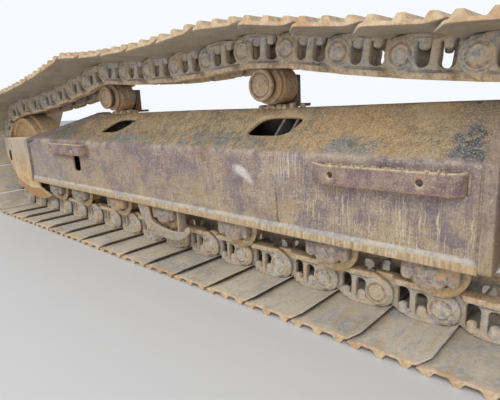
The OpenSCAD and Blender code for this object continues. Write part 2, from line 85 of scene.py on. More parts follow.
def run_normals(w):
    """Angle of the outward normal of each straight run: the run's direction plus the belt's angle."""
    d = np.roll(w, -1, axis=0) - w
    far = np.hypot(d[:, 0], d[:, 1])
    return np.degrees(np.arctan2(d[:, 1], d[:, 0]) + np.arccos(-d[:, 2] / far))


def loop_spans(w, n):
    """Lengths in links of the runs and of the arcs on the wheels, in turn round the loop."""
    ends = [(w[j, :2] + w[j, 2] * unit(n[j]),
             w[(j + 1) % 4, :2] + w[(j + 1) % 4, 2] * unit(n[j])) for j in range(4)]
    spans = []
    for j in range(4):
        c = np.linalg.norm(ends[j][1] - ends[j][0])
        k = (j + 1) % 4
        turn = 2 * math.degrees(math.asin(PITCH / 2 / w[k, 2]))
        spans += [(c + 8 * SAGS[j] ** 2 / 3 / c) / PITCH, ((n[j] - n[k]) % 360) / turn]
    return spans, ends


def chain():
    """Pins and headings of the links: the belt's length is made to fit the number of links."""
    base = 3700.0
    for _ in range(7):
        w = wheels(base)
        spans, ends = loop_spans(w, run_normals(w))
        base += (LINKS - sum(spans)) * PITCH / 2
    w = wheels(base)
    n = run_normals(w)
    spans, ends = loop_spans(w, n)

    def point(u):
        """The pin that is so many links along the loop from the sprocket's lower end."""
        for k in range(8):
            if u <= spans[k] or k == 7:
                break
            u -= spans[k]
        j = k // 2
        if k % 2 == 0:
            t = u / spans[k]
            a, b = ends[j]
            return a + (b - a) * t - 4 * SAGS[j] * t * (1 - t) * unit(n[j])
        j = (j + 1) % 4
        turn = 2 * math.degrees(math.asin(PITCH / 2 / w[j, 2]))
        return w[j, :2] + w[j, 2] * unit(n[(j + 3) % 4] - u * turn)

    pins = np.array([point(i + PHASE) for i in range(LINKS)])
    step = np.roll(pins, -1, axis=0) - pins
    return w, pins, np.arctan2(step[:, 1], step[:, 0])


WHEELS, PINS, HEADINGS = chain()
# The source's coarse shoe gives the middle of the length
COARSE = np.array([[-42, 41], [194, 66], [180, 86], [160, 86], [102, 86], [82, 86], [24, 86], [4, 86], [-48, 48]])
COARSE_X = (PINS[:, :1] + COARSE[:, 0] * np.cos(HEADINGS)[:, None] - COARSE[:, 1] * np.sin(HEADINGS)[:, None])
X_MID = -(COARSE_X.max() + COARSE_X.min()) / 2
PINS[:, 0] += X_MID
SPROCKET_X, SPROCKET_Z, SPROCKET_PIN_R = WHEELS[0] + [X_MID, 0, 0]
IDLER_X, IDLER_Z = WHEELS[1, 0] + X_MID, WHEELS[1, 1]
ROLLER_Z = PIN_Z + RAIL_H + ROLLER_R + CLEAR
ROW_X = IDLER_X + 596
ROLLER_X = [ROW_X + s * (SPROCKET_X - 556 - ROW_X) for s in ROLLER_SHARES]
FRONT_X = IDLER_X + 314
REAR_X = SPROCKET_X - SPROCKET_PIN_R - 14 - 8
END_X = REAR_X - END_T
NOSE_Y = FRAME_HALF - PLATE
NOSE_FOLD = IDLER_X - 32
SLOT_X = X_MID - 859
RIB_X = [X_MID + dx for dx in (-406, 654, 719)]
POST_X = [X_MID - CARRIER_SPACE / 2, X_MID + CARRIER_SPACE / 2]
# Roof openings: middle x, half length, fullness of the corners, lean toward the rear on the way up
OPENINGS = ((POST_X[0] + 86, 98, 4.2, 1.25), (POST_X[1] + 54, 107, 3.8, 0.55))
OPENING_HALF_H = 49.0
# Nose plates: lean of the tip, and width, slope and upper limit of the bowl's lean along the lower edge
TIP_LEAN, BOWL_W, BOWL_LEAN, BOWL_TOP = math.tan(math.radians(6)), 92.0, 0.34, 440.0
# Step bars: front end x, foot z, radii of the two bends, clods on the top edge
BARS = {"front": (X_MID - 1193, RIDGE_Z - 76, (16, 14), 26), "rear": (X_MID + 880, RIDGE_Z - 87, (40, 42), 38)}
BAR_LENGTH, BAR_OUT, BAR_T, BAR_H = 496.0, 46.0, 12.0, 65.0


# ---------- Mesh tools: a shell is (points, list of face arrays, marks on the points) ----------
def columns(*parts):
    """Arrays side by side, as the columns of one."""
    return np.column_stack(parts)


def around(n):
    """Angles of n even steps round a circle."""
    return np.arange(n) * 2 * np.pi / n


def unit_rows(v):
    """Every row scaled to length 1."""
    return v / np.linalg.norm(v, axis=1)[:, None]


def join(*shells):
    """One shell of several: points and marks laid end to end, faces shifted to match."""
    points, faces, marks, at = [], [], {}, 0
    names = set().union(*[s[2] for s in shells])
    for p, fs, m in shells:
        points.append(p)
        faces += [f + at for f in fs if len(f)]
        for k in names:
            marks.setdefault(k, []).append(m.get(k, np.zeros(len(p))))
        at += len(p)
    return np.concatenate(points), faces, {k: np.concatenate(v) for k, v in marks.items()}


def shift(shell, by):
    """The shell moved by a vector."""
    return shell[0] + np.asarray(by, float), shell[1], shell[2]


def flip_y(shell):
    """The mirror image across the track's middle plane, with its faces turned to point outwards."""
    return shell[0] * [1, -1, 1], [f[:, ::-1] for f in shell[1]], shell[2]


def repeat(shell, matrices, origins):
    """Copies of a shell: every point times each matrix plus each origin, as one product of arrays. The mark "lot"
    is a number from 0 to 1 for each copy."""
    p, fs, m = shell
    n = len(matrices)
    points = (np.einsum("kij,pj->kpi", matrices, p) + origins[:, None, :]).reshape(-1, 3)
    step = (np.arange(n) * len(p))[:, None, None]
    faces = [(f[None] + step).reshape(-1, f.shape[1]) for f in fs]
    marks = {k: np.tile(v, n) for k, v in m.items()}
    marks["lot"] = np.repeat(np.modf(np.arange(n) * GOLDEN)[0], len(p))
    return points, faces, marks


def on_links(shell):
    """A shell in a link's own axes (along, across, outwards) at every link of the loop."""
    c, s, o, l = np.cos(HEADINGS), np.sin(HEADINGS), np.zeros(LINKS), np.ones(LINKS)
    turns = np.array([[c, o, -s], [o, l, o], [s, o, c]]).transpose(2, 0, 1)
    return repeat(shell, turns, columns(PINS[:, 0], o, PINS[:, 1]))


def at_places(shell, places):
    """The shell at every place, unturned."""
    places = np.asarray(places, float)
    return repeat(shell, np.tile(np.eye(3), (len(places), 1, 1)), places)


def rounded(corners, n=5):
    """Closed outline: each corner (x, y, radius) becomes an arc of n points tangent to its two sides."""
    c = np.asarray(corners, float)
    p, r = c[:, :2], c[:, 2]
    to_prev, to_next = unit_rows(np.roll(p, 1, axis=0) - p), unit_rows(np.roll(p, -1, axis=0) - p)
    half = np.arccos(np.clip((to_prev * to_next).sum(1), -1, 1)) / 2
    centre = p + unit_rows(to_prev + to_next) * (r / np.sin(half))[:, None]
    a0 = p + to_prev * (r / np.tan(half))[:, None] - centre
    a1 = p + to_next * (r / np.tan(half))[:, None] - centre
    sweep = np.pi - 2 * half
    t = np.linspace(0, 1, n)[None, :, None]
    s = np.sin(sweep)[:, None, None]
    arc = (np.sin((1 - t) * sweep[:, None, None]) * a0[:, None] + np.sin(t * sweep[:, None, None]) * a1[:, None]) / s
    return (centre[:, None] + arc).reshape(-1, 2)


def spread(loop, gap):
    """A closed outline with points added so that none of its sides is longer than the gap."""
    loop = loop[np.linalg.norm(np.roll(loop, -1, axis=0) - loop, axis=1) > 0.05]
    nxt = np.roll(loop, -1, axis=0)
    counts = np.maximum(1, np.ceil(np.linalg.norm(nxt - loop, axis=1) / gap)).astype(int)
    which = np.repeat(np.arange(len(loop)), counts)
    part = (np.arange(counts.sum()) - np.repeat(np.cumsum(counts) - counts, counts)) / counts[which]
    return loop[which] + (nxt - loop)[which] * part[:, None]


def area(loop):
    """Signed area of a closed outline: above zero if it runs counter-clockwise."""
    x, y = loop.T
    return (x * np.roll(y, -1) - np.roll(x, -1) * y).sum() / 2


def ccw(loop):
    """The outline counter-clockwise."""
    return loop if area(loop) > 0 else loop[::-1]


def shaped(corners, n, gap):
    """A closed outline with rounded corners, counter-clockwise, with no side longer than the gap."""
    return ccw(spread(rounded(corners, n), gap))


def circle(x, z, r, n):
    """A closed outline of n points on a circle."""
    a = around(n)
    return columns(x + r * np.cos(a), z + r * np.sin(a))


def level(height):
    """A plate's face at one height."""
    return lambda x, z: np.full(len(x), float(height))


def inset(loop, by):
    """The outline moved inwards along the mean of each point's two side normals."""
    d = unit_rows(np.roll(loop, -1, axis=0) - np.roll(loop, 1, axis=0))
    return loop + columns(-d[:, 1], d[:, 0]) * by * np.sign(area(loop))


def inside(points, loop):
    """True where a ray to the right crosses the outline an odd number of times."""
    a, b = loop, np.roll(loop, -1, axis=0)
    x, y = points[:, 0, None], points[:, 1, None]
    crosses = (a[:, 1] > y) != (b[:, 1] > y)
    with np.errstate(divide="ignore", invalid="ignore"):
        at = a[:, 0] + (y - a[:, 1]) / (b[:, 1] - a[:, 1]) * (b[:, 0] - a[:, 0])
    return (crosses & (x < at)).sum(1) % 2 == 1


def border_distance(points, loops):
    """Shortest distance from each point to the sides of the outlines."""
    best = np.full(len(points), 1e9)
    for loop in loops:
        a, d = loop, np.roll(loop, -1, axis=0) - loop
        rel = points[:, None] - a[None]
        t = np.clip((rel * d).sum(2) / np.maximum((d * d).sum(1), 1e-9), 0, 1)
        best = np.minimum(best, np.linalg.norm(rel - t[..., None] * d, axis=2).min(1))
    return best


def skin(loops, extra):
    """Triangles over the first outline less the others, through extra points: rows of indices into all points."""
    rim = np.concatenate(loops)
    keep = inside(extra, loops[0])
    for hole in loops[1:]:
        keep &= ~inside(extra, hole)
    extra = extra[keep]
    extra = extra[border_distance(extra, loops) > 0.4]
    points = np.concatenate([rim, extra])
    edges, at = [], 0
    for loop in loops:
        i = np.arange(len(loop)) + at
        edges += columns(i, np.roll(i, -1)).tolist()
        at += len(loop)
    found = delaunay_2d_cdt(list(map(Vector, points.tolist())), edges, [], 0, 1e-5)
    source = np.array([o[0] if o else -1 for o in found[3]])
    tris = source[np.array(found[2])]
    middle = points[tris].mean(1)
    good = inside(middle, loops[0]) & (tris >= 0).all(1)
    for hole in loops[1:]:
        good &= ~inside(middle, hole)
    tris = tris[good]
    a, b, c = points[tris[:, 0]], points[tris[:, 1]], points[tris[:, 2]]
    clockwise = (b - a)[:, 0] * (c - a)[:, 1] - (b - a)[:, 1] * (c - a)[:, 0] <= 0
    tris[clockwise] = tris[clockwise][:, ::-1]
    return points, tris


def drop(d, r):
    """How far a rounded edge of radius r lies below the face at distance d from the border."""
    e = np.clip(1 - d / r, 0, 1)
    return r * (1 - np.sqrt(1 - e * e))


def grid_in(loop, gap):
    """Grid points over an outline's bounding box."""
    lo, hi = loop.min(0), loop.max(0)
    x, y = np.meshgrid(np.arange(lo[0] + gap / 2, hi[0], gap), np.arange(lo[1] + gap / 2, hi[1], gap))
    return columns(x.ravel(), y.ravel())


def plate(loops, top, bottom, edge=3.0, gap=40.0, extra=None, hole_edge=None):
    """A plate between two height functions over an outline with holes: two triangulated faces whose borders
    are rounded by drop(), joined by walls along every border. Axes are (x, height, z), with y the height."""
    radii = [edge] + [hole_edge or edge] * (len(loops) - 1)
    points, tris = [], []
    for face in (top, bottom):
        more = [inset(h, (r if k == 0 else -r) * share)
                for k, (h, r) in enumerate(zip(loops, radii)) for share in (0.25, 1.0)]
        more.append(grid_in(loops[0], gap))
        if extra is not None:
            more.append(extra)
        p, t = skin(loops, np.concatenate(more))
        up = 1 if face is top else -1
        fall, mark = np.zeros(len(p)), np.zeros(len(p))
        for h, r in zip(loops, radii):
            d = border_distance(p, [h])
            fall = np.maximum(fall, drop(d, r))
            mark = np.maximum(mark, np.clip(1 - d / (2.5 * r), 0, 1))
        points.append((columns(p[:, 0], face(p[:, 0], p[:, 1]) - up * fall, p[:, 1]), mark))
        tris.append(t)
    n = len(points[0][0])
    verts = np.concatenate([points[0][0], points[1][0]])
    marks = np.concatenate([points[0][1], points[1][1]])
    # (x, height, z) is left-handed for x, z counter-clockwise, so the top face runs clockwise
    faces = [tris[0][:, ::-1], tris[1] + n]
    at = 0
    for k, loop in enumerate(loops):
        i = np.arange(len(loop)) + at
        j = np.roll(i, -1)
        wall = columns(i, j, j + n, i + n)
        if (area(loop) > 0) == (k > 0):
            wall = wall[:, ::-1]
        faces.append(wall)
        at += len(loop)
    return verts, faces, {"edge": marks}


def tube(rings, closed_ends=True, edge=None):
    """A skin through rings of points (stations, points, 3), its end rings closed by a face each."""
    s, n = rings.shape[:2]
    i = np.arange(s - 1)[:, None] * n
    j = np.arange(n)[None]
    k = (j + 1) % n
    quads = np.stack([i + j, i + k, i + n + k, i + n + j], axis=2).reshape(-1, 4)
    faces = [quads]
    if closed_ends:
        faces += [np.arange(n)[None, ::-1], (s - 1) * n + np.arange(n)[None]]
    marks = np.zeros(s * n) if edge is None else np.repeat(edge, n)
    return rings.reshape(-1, 3), faces, {"edge": marks}


def outward(shell):
    """The shell with its faces turned round if its signed volume, the sum of a.(b x c) over the fans of its faces,
    is below zero."""
    p, fs, m = shell
    volume = 0.0
    for f in fs:
        a = p[f[:, 0]]
        for k in range(1, f.shape[1] - 1):
            volume += np.einsum("ij,ij->", a, np.cross(p[f[:, k]], p[f[:, k + 1]]))
    return (p, [f[:, ::-1] for f in fs], m) if volume < 0 else shell


def prism(outline, y0, y1, bevel=2.0):
    """A bar of constant outline (x, z) between two heights, its end rims rounded by a quarter circle."""
    t = np.linspace(0, np.pi / 2, 3)
    ys = np.concatenate([y0 + bevel * (1 - np.cos(t)), (y1 - bevel * (1 - np.cos(t)))[::-1]])
    ins = np.concatenate([bevel * (1 - np.sin(t)), (bevel * (1 - np.sin(t)))[::-1]])
    rings = []
    for y, d in zip(ys, ins):
        loop = inset(outline, d) if d > 1e-6 else outline
        rings.append(columns(loop[:, 0], np.full(len(loop), y), loop[:, 1]))
    return outward(tube(np.array(rings), True, np.array([1, 0.75, 0.5, 0.5, 0.75, 1])))


def turned(profile, x, z, n=48, closed=True):
    """A profile of (radius, y) rows turned about the axis through x and z. Rows at radius 0 close the ends."""
    a = around(n)
    r, y = np.asarray(profile, float).T
    rings = np.stack([x + r[:, None] * np.cos(a), np.repeat(y[:, None], n, 1), z + r[:, None] * np.sin(a)], axis=2)
    if not closed:
        p, fs, m = tube(rings, False)
        last = (len(r) - 1) * n
        j = np.arange(n)
        fs.append(columns(last + j, last + (j + 1) % n, (j + 1) % n, j))
        return outward((p, fs, m))
    return outward(tube(rings, True))


def solid_turned(corners, x, z, n_corner, n):
    """A solid turned from a profile (radius, y, fillet) that starts and ends on the axis, its corners rounded."""
    c = np.asarray(corners, float) + [0.001, 0, 0]
    c[:, 2] = np.maximum(c[:, 2], 0.01)
    body = rounded(c, n_corner).reshape(len(c), n_corner, 2)[1:-1].reshape(-1, 2)
    return turned(np.concatenate([[[0.5, c[0, 1]]], body, [[0.5, c[-1, 1]]]]), x, z, n)


def section(corners, n=7):
    """An open path in a plane with rounded corners: lengths along it, its points and its normals to the left."""
    c = np.asarray(corners, float)
    full = rounded(columns(c[:, :2], np.maximum(c[:, 2], 0.01)), n).reshape(len(c), n, 2)
    p = np.concatenate([c[:1, :2], full[1:-1].reshape(-1, 2), c[-1:, :2]])
    step = np.linalg.norm(np.diff(p, axis=0), axis=1)
    p = p[np.concatenate([[True], step > 1e-4])]
    d = np.diff(p, axis=0)
    step = np.linalg.norm(d, axis=1)
    d /= step[:, None]
    t = unit_rows(np.concatenate([d[:1], (d[1:] + d[:-1]) / 2, d[-1:]]))
    return np.concatenate([[0], np.cumsum(step)]), p, columns(-t[:, 1], t[:, 0])


def bent(shell, path):
    """A flat shell (along, height, s) with s laid along a section's path and height along its normal:
    gives (along, first, second) with the path's two axes."""
    lengths, p, normal = path
    at, h, s = shell[0].T
    q = [np.interp(s, lengths, p[:, k]) + h * np.interp(s, lengths, normal[:, k]) for k in (0, 1)]
    return outward((columns(at, q[0], q[1]), shell[1], shell[2]))


def oval(x, z, half_w, half_h, power=2.6, n=40):
    """A closed outline between an ellipse and its box: the power sets how full its corners are."""
    a = around(n)
    c, d = np.cos(a), np.sin(a)
    return columns(x + half_w * np.sign(c) * np.abs(c) ** (2 / power),
                     z + half_h * np.sign(d) * np.abs(d) ** (2 / power))


def smooth(x, lo, hi):
    """0 below lo, 1 above hi, and the cubic 3tt - 2ttt between."""
    t = np.clip((x - lo) / (hi - lo), 0, 1)
    return t * t * (3 - 2 * t)


def piece(name, shell, material, replaces, sharp):
    """A mesh object of a shell, in metres, riding on the frame's body. Edges sharper than so many degrees stay hard."""
    points, faces, marks = shell
    mesh = bpy.data.meshes.new(name)
    sizes = np.concatenate([np.full(len(f), f.shape[1]) for f in faces])
    corners = np.concatenate([f.ravel() for f in faces]).astype(np.int32)
    mesh.vertices.add(len(points))
    mesh.vertices.foreach_set("co", (points * MM).astype(np.float32).ravel())
    mesh.loops.add(len(corners))
    mesh.loops.foreach_set("vertex_index", corners)
    mesh.polygons.add(len(sizes))
    mesh.polygons.foreach_set("loop_start", (np.cumsum(sizes) - sizes).astype(np.int32))
    mesh.update(calc_edges=True)
    for k, v in marks.items():
        mesh.attributes.new(k, "FLOAT", "POINT").data.foreach_set("value", v.astype(np.float32))
    mesh.validate()
    mesh.shade_smooth()
    mesh.set_sharp_from_angle(angle=math.radians(sharp))
    o = bpy.data.objects.new(name, mesh)
    bpy.context.scene.collection.objects.link(o)
    mesh.materials.append(material)
    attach(o, "root")
    if replaces:
        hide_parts(*replaces)


def both_sides(name, shell, material, node, sharp):
    """A shell made for the inner side as one piece, and its mirror image on the outer side as another."""
    for side, s in (("outer", flip_y(shell)), ("inner", shell)):
        piece("%s_%s" % (name, side), s, material, ["%s_%s" % (node, side)], sharp)


# ---------- Materials ----------
class Field:
    """A socket in a material: operators on it add Math nodes, or Vector Math nodes where it is a vector."""

    def __init__(self, paint, socket):
        self.paint, self.socket = paint, socket
        self.vector = socket.type == "VECTOR"

    def _with(self, op, *others):
        """One math node over fields and numbers."""
        kind = "ShaderNodeVectorMath" if self.vector else "ShaderNodeMath"
        return self.paint.node(kind, {"operation": op}, dict(enumerate(others)))

    def __add__(self, o):
        return self._with("ADD", self, o)

    __radd__ = __add__

    def __sub__(self, o):
        return self._with("SUBTRACT", self, o)

    def __rsub__(self, o):
        return self._with("SUBTRACT", o, self)

    def __mul__(self, o):
        return self._with("MULTIPLY", self, o)

    __rmul__ = __mul__

    def least(self, o):
        """The lesser of the two."""
        return self._with("MINIMUM", self, o)

    def most(self, o):
        """The greater of the two."""
        return self._with("MAXIMUM", self, o)

    def rise(self, lo, hi):
        """0 below lo, 1 above hi, and a smooth step between."""
        return self.paint.node("ShaderNodeMapRange", {"interpolation_type": "SMOOTHSTEP"},
                               {"Value": self, "From Min": lo, "From Max": hi})

    def near(self, centre, width):
        """1 at the centre, falling to 0 at a distance of the width."""
        return 1 - self._with("ABSOLUTE", self - centre).rise(0, width)


class Paint:
    """A material's tree, with Object coordinates and one method for nodes."""

    def __init__(self, name):
        self.material = bpy.data.materials.new(name)
        self.material.use_nodes = True
        self.tree = self.material.node_tree
        self.tree.nodes.clear()
        self.place = self.node("ShaderNodeTexCoord", out="Object")
        self.x, _, self.z = self.split(self.place)

    def node(self, kind, settings=None, values=None, out=0):
        """A node with its settings and its inputs' values or fields, as the field of one of its outputs."""
        n = self.tree.nodes.new(kind)
        for k, v in (settings or {}).items():
            setattr(n, k, v)
        for k, v in (values or {}).items():
            s = n.inputs[k]
            if isinstance(v, Field):
                self.tree.links.new(v.socket, s)
            elif hasattr(s.default_value, "__len__"):
                v = (v,) * 3 if isinstance(v, (int, float)) else v
                s.default_value = (*v, 1)[:len(s.default_value)] if len(s.default_value) > len(v) else v
            else:
                s.default_value = v
        return Field(self, n.outputs[out])

    def split(self, vector):
        """A vector's three numbers as fields."""
        first = self.node("ShaderNodeSeparateXYZ", {}, {0: vector})
        return [Field(self, s) for s in first.socket.node.outputs]

    def noise(self, scale, detail=4.0, rough=0.55, stretch=(1, 1, 1), offset=(0, 0, 0), at=None):
        """Noise at the object's own coordinates, moved and stretched, or at a place that is given."""
        at = at or (self.place + offset) * stretch
        return self.node("ShaderNodeTexNoise", {}, {"Vector": at, "Scale": scale, "Detail": detail, "Roughness": rough})

    def mark(self, name):
        """A mark that the mesh carries on its points."""
        return self.node("ShaderNodeAttribute", {"attribute_name": name}, out="Fac")

    def facing(self, axis):
        """The surface normal's share along an axis, in the world."""
        return self.split(self.node("ShaderNodeNewGeometry", out="Normal"))[axis]

    def mix(self, factor, a, b):
        """Colour a where the factor is 0 and colour b where it is 1; colours are fields or 0 to 255 screen values."""
        a, b = (c if isinstance(c, Field) else tone(*c) for c in (a, b))
        return self.node("ShaderNodeMix", {"data_type": "RGBA"}, {0: factor, 6: a, 7: b}, out=2)

    def coats(self, colour, rows):
        """Coats over a colour, each row a factor and the coat's colour."""
        for factor, coat in rows:
            colour = self.mix(factor, colour, coat)
        return colour

    def finish(self, colour, rough, bump=None, strength=0.4, depth=0.002):
        """Closes the tree with a shader and a bump of so many metres, and gives the material."""
        values = {"Base Color": colour, "Roughness": rough}
        if bump is not None:
            values["Normal"] = self.node("ShaderNodeBump", {}, {"Strength": strength, "Distance": depth,
                                                                "Height": bump}, "Normal")
        shader = self.node("ShaderNodeBsdfPrincipled", {}, values)
        output = self.tree.nodes.new("ShaderNodeOutputMaterial")
        self.tree.links.new(shader.socket, output.inputs["Surface"])
        return self.material


def tone(r, g, b):
    """A colour named by its 0 to 255 screen values, as linear light."""
    c = np.array([r, g, b]) / 255
    return tuple(np.where(c <= 0.04045, c / 12.92, ((c + 0.055) / 1.055) ** 2.4).tolist())


def shoe_finish():
    """Worn shoe steel under dried clay: pale grey-tan plates in small blotches and fine grain, cream and ochre cut
    edges, a dustier band beside the links, and painted shade on faces that point down, as under the upper run."""
    m = Paint("shoe_clay")
    edge, lot, under, near = m.mark("edge"), m.mark("lot"), m.mark("under"), m.mark("near")
    broad = m.noise(6.0, 5, 0.62, offset=(1.3, 0.2, 0.7))
    fine = m.noise(42.0, 6, 0.78)
    grit = m.noise(150.0, 3, 0.8)
    drawn = m.noise(26.0, 5, 0.7, stretch=(1, 0.25, 1))
    clay = m.mix(drawn.rise(0.35, 0.68), (196, 190, 178), (214, 200, 174))
    steel = m.mix(fine.rise(0.35, 0.65), (146, 148, 150), (180, 176, 168))
    top = m.mix(broad.rise(0.44, 0.60) * 0.8, clay, steel)
    top = m.coats(top, [
        (drawn.rise(0.50, 0.66) * 0.65, (182, 158, 120)),
        (drawn.rise(0.46, 0.32) * 0.6, (150, 148, 148)),
        (fine.rise(0.54, 0.68) * 0.6, (232, 222, 202)),
        (fine.rise(0.44, 0.30) * 0.4, (136, 128, 118)),
        (near * fine.rise(0.38, 0.58) * 0.6, (170, 160, 146)),
        (grit.rise(0.56, 0.66) * 0.45, (124, 114, 102))])
    # Painted shade: faces that point down are darkened
    shade = m.facing(2).rise(0.1, -0.5)
    top = m.mix(shade * 0.5, top, (146, 130, 108))
    lugs = m.mix(fine.rise(0.35, 0.62), (160, 130, 96), (190, 172, 144))
    lugs = m.mix(grit.rise(0.54, 0.66) * 0.6, lugs, (128, 100, 74))
    colour = m.mix(under, top, lugs)
    rust = m.mix(fine.rise(0.35, 0.62), (176, 146, 110), (204, 182, 150))
    rust = m.coats(rust, [
        (broad.rise(0.50, 0.62) * 0.5, (170, 120, 78)),
        (grit.rise(0.55, 0.66) * 0.5, (138, 100, 64))])
    colour = m.coats(colour, [
        (edge * 0.9, rust),
        ((lot - 0.5) * 0.16 + 0.08, (150, 132, 106))])
    return m.finish(colour, 0.86, fine * 0.6 + broad * 0.5 + grit * 0.5, 0.55, 0.0018)


def link_finish():
    """Forged links: blue-grey and tan dust, speckled, with faint ochre rings on the bosses and tan rails, and painted
    shade on faces that point down.
    """
    m = Paint("link_dust")
    edge, ring, rail = m.mark("edge"), m.mark("ring"), m.mark("rail")
    fine = m.noise(48.0, 6, 0.8)
    grit = m.noise(150.0, 3, 0.8)
    broad = m.noise(12.0, 4, 0.65)
    base = m.mix(fine.rise(0.32, 0.66), (134, 132, 134), (196, 184, 164))
    base = m.coats(base, [
        (broad.rise(0.44, 0.60) * 0.6, (180, 158, 126)),
        (ring * broad.rise(0.36, 0.52) * 0.45, (186, 152, 112)),
        (ring * fine.rise(0.60, 0.44) * 0.6, (92, 80, 72)),
        (edge * broad.rise(0.35, 0.55) * 0.45, (166, 142, 112))])
    rails = m.mix(fine.rise(0.36, 0.6), (164, 128, 90), (204, 178, 140))
    base = m.coats(base, [
        # Painted shade: faces that point down are darkened
        (m.facing(2).rise(-0.35, -0.9) * 0.45, (88, 78, 72)),
        (rail * 0.85, rails),
        (grit.rise(0.56, 0.66) * 0.45, (96, 84, 80)),
        (grit.rise(0.43, 0.35) * 0.35, (214, 204, 188))])
    return m.finish(base, 0.88, fine + broad * 0.5, 0.4, 0.0016)


def iron_finish(name, dark, light, rust, rust_share=0.5, groove=False, dust=0.4):
    """Rough cast or turned iron: two tones of grain with patches of rust, dark pits and pale dust on what faces up."""
    m = Paint(name)
    fine = m.noise(48.0, 6, 0.8)
    broad = m.noise(10.0, 5, 0.65)
    grit = m.noise(140.0, 3, 0.8)
    edge = m.mark("edge")
    base = m.mix(fine.rise(0.34, 0.66), dark, light)
    base = m.coats(base, [
        (broad.rise(0.62 - rust_share * 0.3, 0.72 - rust_share * 0.2) * 0.8, rust),
        (edge * 0.6, m.mix(fine.rise(0.35, 0.6), rust, light)),
        (m.facing(2).rise(0.3, 0.95) * fine.rise(0.3, 0.55) * dust, (186, 170, 144)),
        (fine.rise(0.56, 0.68) * 0.4, light),
        (grit.rise(0.56, 0.67) * 0.4, (70, 58, 50)),
        (grit.rise(0.43, 0.35) * 0.2, (206, 190, 164))])
    if groove:
        base = m.mix(m.mark("groove") * 0.85, base, (44, 36, 32))
    return m.finish(base, 0.84, fine + broad * 0.4, 0.45, 0.0016)


